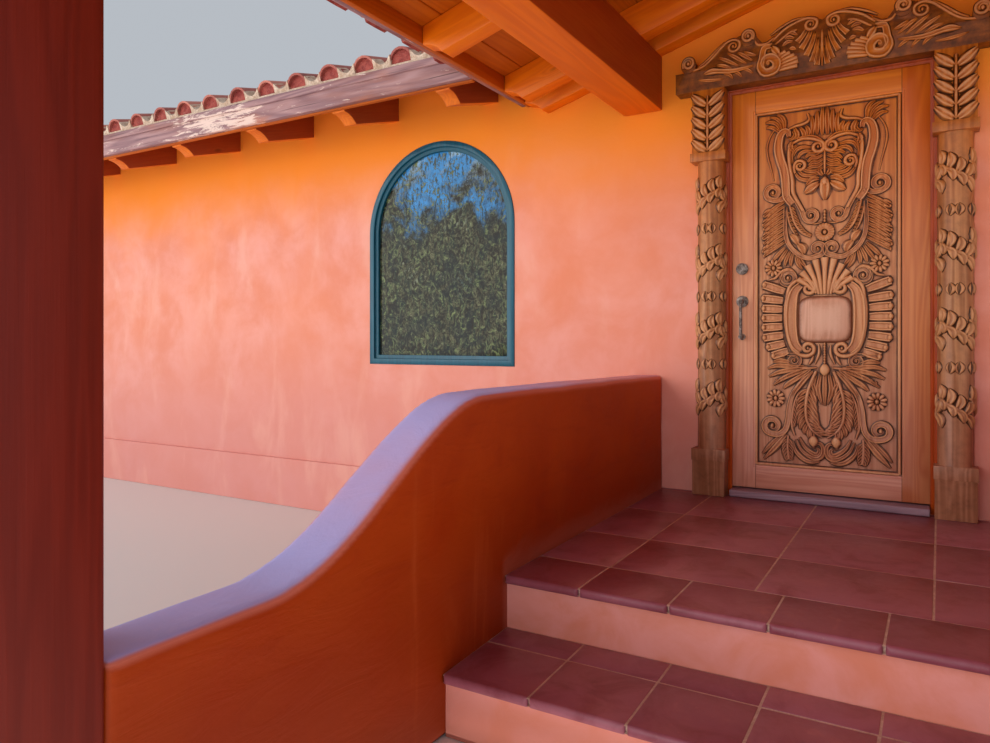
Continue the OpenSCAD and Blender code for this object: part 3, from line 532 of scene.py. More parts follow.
# Half the length of the door's rails, and the top of the lower and foot of the upper one
DOOR_RAILS = (0.334, 0.581, 2.404)


def make_finishes():
    """Every material once, by the name that the pieces below ask for."""
    def with_colors(row):
        return [rgb(*value) if isinstance(value, tuple) else value for value in row]

    made = {key: wood(*with_colors(row)).material for key, row in WOODS.items()}
    made["door"] = wood("door_timber", rgb(202, 124, 88), rgb(236, 172, 130), rgb(96, 46, 22), 0.36,
                        0.6, aged=True, rails=DOOR_RAILS).material
    made.update((key, carved(*with_colors(row))) for key, row in CARVED.items())
    made.update((key, mortar(*with_colors(row))) for key, row in MORTARS.items())
    made.update(stucco=stucco(), porch=porch_plaster(), riser=riser_plaster(),
                screed=floor_screed(), grey=weathered(), clay=clay(), paving=paving_glaze(),
                brass=brass(), teal=teal_paint(), glass=dark_glass())
    return made


# Filled by main()
FINISHES = {}


# Steps that the pieces share

# Distance below which the vertices of a CAD node are one
DOUBLES = 0.00002


def clear():
    """Object mode, with nothing selected."""
    if bpy.context.object and bpy.context.object.mode != "OBJECT":
        bpy.ops.object.mode_set(mode="OBJECT")
    bpy.ops.object.select_all(action="DESELECT")


def pick(*pieces):
    """Only these pieces selected, the first of them active."""
    clear()
    for piece in pieces:
        piece.select_set(True)
    bpy.context.view_layer.objects.active = pieces[0]
    return pieces[0]


def settle(piece):
    """The piece's place goes into its mesh."""
    pick(piece)
    bpy.ops.object.transform_apply(location=True, rotation=True, scale=True)
    return piece


def move_to(piece, place, turn):
    """Puts a piece in its place, for good."""
    piece.location = place
    piece.rotation_euler = turn
    return settle(piece)


def modify(piece, kind, **settings):
    """One modifier, added and applied."""
    pick(piece)
    made = piece.modifiers.new(kind.lower(), kind)
    for key, value in settings.items():
        setattr(made, key, value)
    bpy.ops.object.modifier_apply(modifier=made.name)
    return piece


def rows(piece, count, step):
    """The piece repeated along a step."""
    return modify(piece, "ARRAY", count=count, use_relative_offset=False, use_constant_offset=True,
                  constant_offset_displace=step)


def smooth(piece, angle=180):
    """Smooth shading over edges that turn by less than the angle."""
    pick(piece)
    if angle < 180:
        bpy.ops.object.shade_smooth_by_angle(angle=math.radians(angle))
    else:
        bpy.ops.object.shade_smooth()
    return piece


def soften(piece, width, segments=2):
    """Worn edges."""
    modify(piece, "BEVEL", width=width, segments=segments, limit_method="ANGLE",
           angle_limit=math.radians(30), harden_normals=False)
    return smooth(piece, 35)


def edit(piece, action, **settings):
    """One edit-mode operator on the whole mesh."""
    pick(piece)
    bpy.ops.object.mode_set(mode="EDIT")
    bpy.ops.mesh.select_all(action="SELECT")
    action(**settings)
    bpy.ops.object.mode_set(mode="OBJECT")
    return piece


def cut(piece, cuts, fill=True):
    """Cuts away what lies beyond each of the planes, given as a point and the way that it faces."""
    for point, normal in cuts:
        edit(piece, bpy.ops.mesh.bisect, plane_co=point, plane_no=normal, clear_outer=True,
             use_fill=fill)
    return piece


def face_out(piece):
    """Normals outwards."""
    return edit(piece, bpy.ops.mesh.normals_make_consistent, inside=False)


def join(*pieces):
    """The pieces as one, named as the first."""
    pick(*pieces)
    if len(pieces) > 1:
        bpy.ops.object.join()
    return pieces[0]


def twin(*names):
    """A copy of CAD nodes, its triangles joined into faces."""
    copies = []
    for name in names:
        made = bpy.data.objects.new(name + "_copy", NODES[name].data.copy())
        bpy.context.scene.collection.objects.link(made)
        made.data.materials.clear()
        copies.append(made)
    piece = join(*copies)
    edit(piece, bpy.ops.mesh.remove_doubles, threshold=DOUBLES)
    return edit(piece, bpy.ops.mesh.dissolve_limited, angle_limit=math.radians(0.6))


def block(size, at, turn=(0, 0, 0)):
    """A box of this size, to be worked on."""
    bpy.ops.mesh.primitive_cube_add(size=1, location=at, rotation=turn, scale=size)
    return settle(bpy.context.object)


def points_of(piece):
    """The places of the piece's vertices, one row each."""
    spots = np.empty(len(piece.data.vertices) * 3, np.float32)
    piece.data.vertices.foreach_get("co", spots)
    return spots.reshape(-1, 3)


def move_points(piece, spots):
    """The piece's vertices go to these places."""
    piece.data.vertices.foreach_set("co", np.asarray(spots, np.float32).ravel())
    piece.data.update()


def keep(piece, name, values, kind="FLOAT"):
    """Numbers on the vertices, for the material to read, in place of older ones."""
    old = piece.data.attributes.get(name)
    if old:
        piece.data.attributes.remove(old)
    layer = piece.data.attributes.new(name, kind, "POINT")
    layer.data.foreach_set("vector" if kind == "FLOAT_VECTOR" else "value",
                           np.asarray(values, np.float32).ravel())


def parts_of(piece):
    """For each vertex, the number of the separate part that it belongs to."""
    mesh = piece.data
    edges = np.empty(len(mesh.edges) * 2, np.int32)
    mesh.edges.foreach_get("vertices", edges)
    a, b = edges.reshape(-1, 2).T
    label = np.arange(len(mesh.vertices))
    while True:
        low = np.minimum(label[a], label[b])
        old = label.copy()
        np.minimum.at(label, a, low)
        np.minimum.at(label, b, low)
        label = label[label]
        if (label == old).all():
            break
    return np.unique(label, return_inverse=True)[1]


def grain(piece, seed, along=None, whole=False):
    """Wood grain and a tone for each separate part, or for the whole piece, along its longest
    direction or the one given."""
    spots = points_of(piece).astype(float)
    label = np.zeros(len(spots), int) if whole else parts_of(piece)
    count = label.max() + 1
    draw = np.random.default_rng(seed)
    shift = draw.uniform(-20, 20, (count, 3))
    tone = draw.random(count)
    wood_at = np.empty_like(spots)
    for i in range(count):
        own = label == i
        part = spots[own]
        if along is None:
            spread = part - part.mean(0)
            axes = np.linalg.eigh(spread.T @ spread)[1].T[::-1]
        else:
            first = np.array(along, float) / np.linalg.norm(along)
            second = np.cross(first, (0.0, 0.0, 1.0) if abs(first[2]) < 0.9 else (1.0, 0.0, 0.0))
            second /= np.linalg.norm(second)
            axes = np.array([first, second, np.cross(first, second)])
        wood_at[own] = part @ axes.T + shift[i]
    keep(piece, "grain", wood_at, "FLOAT_VECTOR")
    keep(piece, "tone", tone[label])
    return piece


def place_in(piece, name, finish, slot, body, *nodes):
    """Names a finished piece and says what it is made of, what it rides on and stands for."""
    settle(piece)
    piece.name = name
    piece.data.name = name
    piece.data.materials.clear()
    piece.data.materials.append(FINISHES[finish])
    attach(piece, body)
    if nodes:
        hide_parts(*nodes)
    return piece


def worn_copy(name, finish, slot, body, wear, *nodes, segments=2):
    """CAD nodes again as one piece with worn edges, in their place."""
    return place_in(soften(twin(*nodes), wear, segments), name, finish, slot, body, *nodes)


def paint(finish, *names):
    """The material on CAD nodes that keep their shape."""
    for name in names:
        for slot in NODES[name].material_slots:
            slot.material = FINISHES[finish]


# Walls, floor and paving

def swell(spots, scale, seed):
    """Smooth random waves of the places, about 1 high and a few to each unit of 1 / scale. Their
    seed is above 0, because 0 stands for the clock."""
    noise.seed_set(seed)
    return np.array([noise.noise_vector(Vector(p) * scale) for p in spots])


def make_walls(look):
    """Plaster on the walls as they are, and the low walls with a hand-trowelled face."""
    paint("stucco", "front_wall_left", "front_wall_right", "door_head_wall", "back_wall",
          "left_end_wall", "right_end_wall")
    paint("screed", "floor_slab")
    paint("riser", "porch_base")
    for side in ("left", "right"):
        node = "low_wall_" + side
        wall = modify(twin(node), "REMESH", mode="VOXEL", voxel_size=look.trowel_size)
        spots = points_of(wall)
        spots = (spots + swell(spots, 3.1, look.seed) * look.trowel_waves
                 + swell(spots, 11, look.seed) * look.trowel_waves * 0.25)
        spots[:, 2] = np.maximum(spots[:, 2], 0.001)
        move_points(wall, spots)
        smooth(modify(wall, "SMOOTH", factor=0.5, iterations=2))
        place_in(wall, "plastered_wall_" + side, "porch", "porch_stucco", "house", node)


# Thickness of the paving tiles, their joints and worn edges, then where the joints run
PAVING_T = 0.031
GROUT = 0.006
TILE_WEAR = 0.0028
LANDING_X = (-0.823, -0.534, -0.031, 0.473, 0.823)
LANDING_Y = (0.0, -0.047, -0.547, -1.045, -1.465)
NOSING_X = (-0.823, -0.54, -0.237, 0.06, 0.36, 0.66, 0.823)
NOSING_Y = (-1.465, -1.739)
STEP_X = (-0.823, -0.525, -0.23, 0.061, 0.357, 0.655, 0.823)
STEP_Y = (-1.716, -1.85, -2.12)
# How steeply landing and step fall towards their noses, and the height of the step
LANDING_FALL = 0.017 / 1.739
STEP_FALL = 0.016 / 0.381
STEP_Z = 0.217


def lay(xs, ys, top, fall, nosed):
    """Tiles between joints at xs and ys, their tops falling towards the steps' noses."""
    made = []
    for y1, y0 in zip(ys, ys[1:]):
        for x0, x1 in zip(xs, xs[1:]):
            middle = ((x0 + x1) / 2, (y0 + y1) / 2)
            size = (x1 - x0 - GROUT, y1 - y0 - GROUT, PAVING_T)
            z = top + (middle[1] - ys[0]) * fall
            tile = block(size, (middle[0], middle[1], z - PAVING_T / 2), (math.atan(fall), 0, 0))
            if nosed and y0 == ys[-1]:
                spots = points_of(tile)
                front = spots[:, 1] < middle[1]
                spots[front, 1] -= GROUT / 2
                move_points(tile, spots)
                round_nose(tile, y0)
            made.append(tile)
    return made


def round_nose(tile, front):
    """Half round front edge, as of a bullnose tile."""
    pick(tile)
    bpy.ops.object.mode_set(mode="EDIT")
    bpy.ops.mesh.select_all(action="DESELECT")
    bpy.ops.object.mode_set(mode="OBJECT")
    spots = points_of(tile)
    reach = spots[:, 0].max() - spots[:, 0].min()
    for edge in tile.data.edges:
        a, b = (spots[i] for i in edge.vertices)
        if abs(a[0] - b[0]) > reach / 2 and max(a[1], b[1]) < front + 0.02:
            edge.select = True
    bpy.ops.object.mode_set(mode="EDIT")
    bpy.ops.mesh.bevel(offset=PAVING_T * 0.47, segments=6, affect="EDGES")
    bpy.ops.object.mode_set(mode="OBJECT")


def make_paving(look):
    """Paving tiles of the landing, its nosing and the step, over their grout."""
    made = lay(LANDING_X, LANDING_Y, FLOOR_Z, LANDING_FALL, False)
    made += lay(NOSING_X, NOSING_Y, FLOOR_Z + LANDING_Y[-1] * LANDING_FALL, LANDING_FALL, True)
    made += lay(STEP_X, STEP_Y, STEP_Z, STEP_FALL, True)
    paving = soften(join(*made), TILE_WEAR)
    spots = points_of(paving)
    label = parts_of(paving)
    draw = np.random.default_rng(look.seed)
    spots[:, 2] -= draw.uniform(0, 0.0012, label.max() + 1)[label]
    move_points(paving, spots)
    keep(paving, "tone", draw.random(label.max() + 1)[label])
    place_in(paving, "paving_tiles", "paving", "paving", "house", "porch_paving")
    # The grout is the bed of tiles again, sunk between them and set back from the noses
    bed = twin("porch_paving")
    edit(bed, bpy.ops.transform.shrink_fatten, value=-TILE_WEAR)
    spots = points_of(bed)
    for front in (NOSING_Y[-1], STEP_Y[-1]):
        spots[np.abs(spots[:, 1] - front) < 0.006, 1] += 0.013
    move_points(bed, spots)
    place_in(soften(bed, 0.001, 1), "paving_grout", "grout", "paving", "house")


# Timbers and boards

# Piece, material, slot, worn edge and the CAD nodes that it stands for
TIMBERS = (
    ("rafters", "timber", "timber", 0.005, "main_rafters"),
    ("ridge_timber", "timber", "timber", 0.006, "ridge_beam"),
    ("porch_rafter_timbers", "beam", "timber", 0.005, "porch_rafters"),
    ("porch_beams", "beam", "timber", 0.007, "porch_beam_left", "porch_beam_right"),
    ("porch_ridge_timber", "beam", "timber", 0.006, "porch_ridge_beam"),
    ("posts", "post", "dark_timber", 0.008, "porch_posts"),
    ("eave_backing", "board", "timber", 0.003, "eave_boards"),
    ("porch_eave_backing", "board", "timber", 0.003, "porch_eave_boards"),
    ("fascia_boards", "grey", "grey_timber", 0.004, "front_fascias", "back_fascia"),
    ("barge_pair", "grey", "grey_timber", 0.004, "barge_boards"),
    ("porch_fascia_boards", "grey", "grey_timber", 0.004, "porch_fascias"),
)
# The foot of each slope, and its bearing with 0 for one that rises towards the back
SLOPES = {
    "front": ((0, -EAVE_OUT, EAVE_Z), 0),
    "back": ((0, 2 * RIDGE_Y + EAVE_OUT, EAVE_Z), 180),
    "porch_left": ((-PORCH_EAVE, 0, EAVE_Z), -90),
    "porch_right": ((PORCH_EAVE, 0, EAVE_Z), 90),
}
# Deck, its slope, the two ends of its boards and how far they run up the slope
DECKS = (
    ("front_deck_left", "front", -6.96, 0.0, 3.75),
    ("front_deck_right", "front", 0.0, 6.96, 3.75),
    ("back_deck", "back", -6.96, 6.96, 3.75),
    ("porch_deck_left", "porch_left", -1.2, 3.77, 1.75),
    ("porch_deck_right", "porch_right", -3.77, 1.2, 1.75),
)
BOARD_T = 0.0285
BOARD_SEAT = 0.0006
BOARD_GAP = 0.003


def make_timbers(look):
    """Every timber with worn edges and its own grain."""
    for name, finish, slot, wear, *nodes in TIMBERS:
        grain(worn_copy(name, finish, slot, "house", wear, *nodes), look.seed)


def onto_slope(piece, slope):
    """Lays a piece that was made flat, its eave at y = 0, on one of the roof's slopes."""
    settle(piece)
    place, angle = SLOPES[slope]
    return move_to(piece, place, (PITCH, 0, math.radians(angle)))


def make_boards(look):
    """Roof boards, laid along the slopes and cut to the decks' outlines."""
    for node, slope, u0, u1, run in DECKS:
        board = block((u1 - u0, look.board_w - BOARD_GAP, BOARD_T),
                      ((u0 + u1) / 2, look.board_w / 2, BOARD_SEAT + BOARD_T / 2))
        rows(soften(board, 0.004, 1), int(run / look.board_w) + 1, (0, look.board_w, 0))
        form = twin(node)
        modify(onto_slope(board, slope), "BOOLEAN", operation="INTERSECT", object=form,
               solver="EXACT")
        bpy.data.objects.remove(form)
        along = (0, 1, 0) if "porch" in slope else (1, 0, 0)
        board = grain(smooth(board, 30), look.seed + 3, along)
        place_in(board, node + "_boards", "board", "timber", "house", node)


# Roof

# Height of the axis of cover tiles and of pans over the slope, and how much a tile narrows
TILE_AXIS = 0.114
PAN_AXIS = 0.182
TAPER = 0.015
COURSES = 12
PORCH_COURSES = 7
PORCH_COLUMNS = 19
# How far tiles stay from a valley and from a ridge, and the bed from the gable's edge
VALLEY_GAP = 0.03
RIDGE_GAP = 0.01
BED_INSET = 0.028
BED_Z = 0.031


def arc_tile(look, axis_w, low_r, high_r, over, keep_w):
    """A tapered half round tile, its low end at y = 0: over the roof, or under as a pan."""
    bpy.ops.mesh.primitive_cone_add(vertices=20, radius1=low_r, radius2=high_r,
                                    depth=look.tile_l, end_fill_type="NOTHING",
                                    rotation=(-math.pi / 2, 0, 0),
                                    location=(0, look.tile_l / 2, axis_w))
    tile = settle(bpy.context.object)
    cut(tile, [((0, 0, keep_w), (0, 0, -1 if over else 1))], False)
    return modify(tile, "SOLIDIFY", thickness=look.tile_shell, offset=-1)


def tile_field(look, tile, first, columns, courses, spread, seed):
    """Lays the tile in columns and courses, then sets each a little out of true, by hand."""
    size = len(tile.data.vertices)
    rows(tile, columns, (look.tile_step, 0, 0))
    rows(tile, courses, (0, look.course, 0))
    spots = points_of(tile).astype(float)
    number = np.arange(len(spots)) // size
    column = number % columns
    draw = np.random.default_rng(seed)
    count = columns * courses
    middle = np.zeros((count, 3))
    for axis in range(3):
        middle[:, axis] = np.bincount(number, spots[:, axis], count) / size
    swing = draw.normal(0, 0.011, count)[number]
    tip = draw.normal(0, 0.004, count)[number]
    local = spots - middle[number]
    spots[:, 0] += -local[:, 1] * swing + draw.normal(0, 0.0025, count)[number]
    spots[:, 1] += local[:, 0] * swing + np.abs(draw.normal(0, 0.005, count))[number]
    spots[:, 2] += local[:, 1] * tip - np.abs(draw.normal(0, 0.0012, count))[number]
    spots[:, 0] += first + np.array([spread(c) for c in range(columns)])[column]
    move_points(tile, spots)
    keep(tile, "tone", draw.random(count)[number])
    return tile


def mirror_x(piece):
    """Left and right swapped."""
    settle(piece)
    piece.scale = (-1, 1, 1)
    return face_out(settle(piece))


class Field:
    """One slope's columns of tiles: where the first cover lies, how far up the slope they begin
    and how far they sink, how far each column strays from an even step, and the planes that cut
    them. Its pans lie between the covers, or inward of them where the columns are mirrored."""

    def __init__(self, slope, place, columns, courses, spread, cuts, mirrored=False):
        self.slope = slope
        self.first, self.start, self.sink = place
        self.columns, self.courses = columns, courses
        self.spread, self.cuts, self.mirrored = spread, cuts, mirrored
        self.half = -0.5 if mirrored else 0.5
        self.pans = columns if mirrored else columns - 1

    def lay_down(self, piece):
        """A flat piece goes onto the slope and is cut at its valleys and ridge."""
        if self.mirrored:
            mirror_x(piece)
        return cut(onto_slope(piece, self.slope), self.cuts)

    def tiles(self, look, seed):
        """Covers and pans."""
        narrow = look.tile_r - TAPER
        cover = arc_tile(look, TILE_AXIS, look.tile_r, narrow, True, TILE_AXIS)
        covers = tile_field(look, cover, self.first, self.columns, self.courses, self.spread, seed)
        pan_rim = PAN_AXIS - narrow * math.cos(math.radians(67))
        pan = arc_tile(look, PAN_AXIS, narrow, look.tile_r, False, pan_rim)
        move_points(pan, points_of(pan) + np.array((0, 0.012, 0)))
        pans = tile_field(look, pan, self.first + self.half * look.tile_step, self.pans,
                          self.courses, lambda c: self.spread(c + self.half), seed + 1)
        tiles = join(covers, pans)
        move_points(tiles, points_of(tiles) + np.array((0, self.start, -self.sink)))
        return self.lay_down(tiles)

    def eave_row(self, look, piece, shift, count):
        """A piece repeated along the eave, in step with the columns, its places a little rough."""
        size = len(piece.data.vertices)
        rows(piece, count, (look.tile_step, 0, 0))
        spots = points_of(piece)
        column = np.arange(len(spots)) // size
        strays = np.array([self.spread(c + shift) for c in range(count)])
        spots[:, 0] += self.first + shift * look.tile_step + strays[column]
        draw = np.random.default_rng(column.max() + size)
        spots[:, 1] += draw.uniform(0, 0.005, len(spots)) + self.start
        spots[:, 2] -= self.sink
        move_points(piece, spots)
        return self.lay_down(piece)


def mortar_plug(look):
    """Mortar that closes the low end of a cover tile, leaning back at its foot."""
    bpy.ops.mesh.primitive_cylinder_add(vertices=20, radius=look.tile_r - look.tile_shell + 0.001,
                                        depth=0.05, rotation=(math.pi / 2, 0, 0),
                                        location=(0, 0.031, TILE_AXIS))
    plug = cut(settle(bpy.context.object), [((0, 0, TILE_AXIS - 0.03), (0, 0, -1))])
    edit(plug, bpy.ops.mesh.subdivide, number_cuts=1)
    spots = points_of(plug)
    spots[:, 1] += np.clip(spots[:, 2] - TILE_AXIS + 0.01, 0, 1) * 0.3
    move_points(plug, spots)
    return plug


def mortar_lip():
    """Mortar under the low end of a pan, hollowed to its shape."""
    bpy.ops.mesh.primitive_grid_add(x_subdivisions=12, y_subdivisions=1, size=1)
    lip = bpy.context.object
    lip.scale = (0.128, 0.09, 1)
    settle(lip)
    spots = points_of(lip)
    across = np.clip(np.abs(spots[:, 0]), 0, 0.058)
    spots[:, 2] = PAN_AXIS - np.sqrt(0.061 ** 2 - across ** 2) + 0.004
    spots[:, 1] += 0.042
    move_points(lip, spots)
    edit(lip, bpy.ops.mesh.extrude_region_move, TRANSFORM_OT_translate={"value": (0, 0, -0.05)})
    face_out(lip)
    spots = points_of(lip)
    low = spots[:, 2] < np.sort(spots[:, 2])[len(spots) // 2 - 1] + 0.0001
    spots[low, 2] = np.minimum(spots[low, 2], 0.062)
    move_points(lip, spots)
    return lip


def slope_bed(slope, u0, u1, v0, v1, thick, cuts):
    """Mortar bed between the boards and the tiles."""
    bed = block((u1 - u0, v1 - v0, thick), ((u0 + u1) / 2, (v0 + v1) / 2, BED_Z + thick / 2))
    return cut(onto_slope(bed, slope), cuts)


def make_roof(look):
    """Tiles on every slope, with mortar at the eaves, mortar beds and ridges. Left is -1, right 1.
    Columns near a gable stand a little further apart, so that the last one meets its edge."""
    valley = {side: [((side * (VALLEY + VALLEY_GAP), 0, 0), (-side, -1, 0))] for side in (-1, 1)}
    porch = {side: [((side * (VALLEY - VALLEY_GAP), 0, 0), (side, 1, 0)),
                    ((0, VALLEY, 0), (0, 1, 0)), ((side * RIDGE_GAP, 0, 0), (-side, 0, 0))]
             for side in (-1, 1)}
    ridge = [((0, RIDGE_Y - RIDGE_GAP, 0), (0, 1, 0))]
    back = [((0, RIDGE_Y + RIDGE_GAP, 0), (0, -1, 0))]
    front = -PORCH_TILE_EDGE + 0.09
    start = -(PORCH_TILE_X - PORCH_EAVE) / math.cos(PITCH) + 0.014
    plugs, lips = [], []
    for name, node, seed, field in (
            ("roof_tiles_right", "front_tiles_right", 0,
             Field("front", (look.first_tile - 0.2285, 0, 0), 26, COURSES,
                   lambda c: max(0, c - 17) * 0.0068, valley[1] + ridge)),
            ("roof_tiles_left", "front_tiles_left", 10,
             Field("front", (look.first_tile, 0, 0), 25, COURSES,
                   lambda c: max(0, c - 17) * 0.0143, valley[-1] + ridge, True)),
            ("roof_tiles_back", "back_tiles", 20,
             Field("back", (-6.915, 0, 0), 51, COURSES, lambda c: c * 0.0031, back)),
            ("porch_roof_tiles_left", "porch_tiles_left", 30,
             Field("porch_left", (-front - (PORCH_COLUMNS - 1) * look.tile_step, start, PORCH_SINK),
                   PORCH_COLUMNS, PORCH_COURSES, lambda c: 0, porch[-1])),
            ("porch_roof_tiles_right", "porch_tiles_right", 40,
             Field("porch_right", (front, start, PORCH_SINK), PORCH_COLUMNS, PORCH_COURSES,
                   lambda c: 0, porch[1]))):
        place_in(field.tiles(look, look.seed + seed), name, "clay", "clay_tile", "house", node)
        plugs.append(field.eave_row(look, mortar_plug(look), 0, field.columns))
        if "porch" not in name:
            lips.append(field.eave_row(look, mortar_lip(), field.half, field.pans))
    edge, porch_edge = TILE_EDGE - BED_INSET, PORCH_TILE_EDGE - BED_INSET
    beds = [slope_bed(*bed) for bed in (
        ("front", -edge, 0, -0.004, 3.75, 0.078, valley[-1] + ridge),
        ("front", 0, edge, -0.004, 3.75, 0.078, valley[1] + ridge),
        ("back", -edge, edge, -0.004, 3.75, 0.078, back),
        ("porch_left", -VALLEY, porch_edge, 0.01, 1.78, 0.016, porch[-1]),
        ("porch_right", -porch_edge, VALLEY, 0.01, 1.78, 0.016, porch[1]))]
    place_in(join(*plugs), "eave_plugs", "red", "clay_tile", "house")
    place_in(join(*lips, *beds), "tile_bed", "cream", "clay_tile", "house")
    make_ridges(look)


# Ridge covers: their end radii, how far they lap, and how far their axis lies under the tiles' top
COVER_R = (0.118, 0.1)
COVER_LAP = 0.05
COVER_SINK = 0.06
CORE_H = 0.1


def make_ridges(look):
    """Cover tiles along both ridges, each row over a core of hand-laid mortar."""
    rise = 1 / math.cos(PITCH)
    top = (EAVE_OUT + RIDGE_Y) * SLOPE + EAVE_Z + 0.205 * rise - COVER_SINK
    porch_top = PORCH_EAVE * SLOPE + EAVE_Z + 0.145 * rise - COVER_SINK
    for name, node, length, count, place, turn in (
            ("ridge_cover_tiles", "ridge_tiles", 2 * TILE_EDGE, 38,
             (0.002 - TILE_EDGE, RIDGE_Y, top), -math.pi / 2),
            ("porch_ridge_cover_tiles", "porch_ridge_tiles", PORCH_TILE_EDGE + VALLEY, 13,
             (0, 0.002 - PORCH_TILE_EDGE, porch_top), 0)):
        step = (length - COVER_LAP - 0.004) / count
        depth = step + COVER_LAP
        bpy.ops.mesh.primitive_cone_add(vertices=24, radius1=COVER_R[0], radius2=COVER_R[1],
                                        depth=depth, end_fill_type="NOTHING",
                                        rotation=(-math.pi / 2, 0, 0), location=(0, depth / 2, 0))
        tile = cut(settle(bpy.context.object), [((0, 0, -0.045), (0, 0, -1))], False)
        modify(tile, "SOLIDIFY", thickness=0.014, offset=-1)
        size = len(tile.data.vertices)
        rows(tile, count, (0, step, 0))
        spots = points_of(tile)
        number = np.arange(len(spots)) // size
        draw = np.random.default_rng(look.seed + len(name))
        spots[:, 0] += draw.normal(0, 0.003, count)[number]
        spots[:, 2] -= np.abs(draw.normal(0, 0.002, count))[number]
        move_points(tile, spots)
        keep(tile, "tone", draw.random(count)[number])
        core = block((0.19, length - 0.03, CORE_H), (0, length / 2, -CORE_H / 2))
        edit(soften(core, 0.02), bpy.ops.mesh.subdivide, number_cuts=6)
        spots = points_of(core)
        move_points(core, spots + swell(spots, 9, look.seed) * 0.006)
        for piece in (tile, core):
            move_to(piece, place, (0, 0, turn))
        place_in(tile, name, "clay", "clay_tile", "house", node)
        place_in(core, name + "_mortar", "cream", "clay_tile", "house")


# Windows

def make_windows():
    """Painted frames with worn edges, and their glass."""
    for name, node in (("window_frames", "front_window_frames"),
                       ("window_frames_behind", "rear_window_frames")):
        worn_copy(name, "teal", "teal_paint", "house", 0.0035, node)
    paint("glass", "front_window_glass", "rear_window_glass")


# Carving

# Sections of a cut ridge with a half width of 1: across, and up from the flat
SECTIONS = {
    "round": ((-1.5, -0.2), (1.5, -0.2), (1.5, 0.03), (1, 0.08), (0.85, 0.5), (0.48, 0.8),
              (0, 0.9), (-0.48, 0.8), (-0.85, 0.5), (-1, 0.08), (-1.5, 0.03)),
    "leaf": ((-1.5, -0.2), (1.5, -0.2), (1.5, 0.03), (1, 0.1), (0.8, 0.6), (0.5, 0.72),
             (0.16, 0.3), (-0.1, 0.26), (-0.5, 0.78), (-0.8, 0.66), (-1, 0.1), (-1.5, 0.03)),
    "strap": ((-1.3, -0.2), (1.3, -0.2), (1.3, 0.04), (1, 0.1), (0.9, 0.62), (0.66, 0.64),
              (0.46, 0.22), (-0.46, 0.22), (-0.66, 0.64), (-0.9, 0.62), (-1, 0.1), (-1.3, 0.04)),
}


def through(points, fine=4):
    """A smooth line through the points, each with as many numbers as it likes."""
    p = np.array(points, float)
    p = np.vstack([2 * p[0] - p[1], p, 2 * p[-1] - p[-2]])
    made = []
    for a, b, c, d in zip(p, p[1:], p[2:], p[3:]):
        for t in np.arange(fine) / fine:
            made.append(0.5 * (2 * b + (c - a) * t + (2 * a - 5 * b + 4 * c - d) * t * t
                               + (3 * b - a - 3 * c + d) * t ** 3))
    return np.vstack(made + [p[-2]])


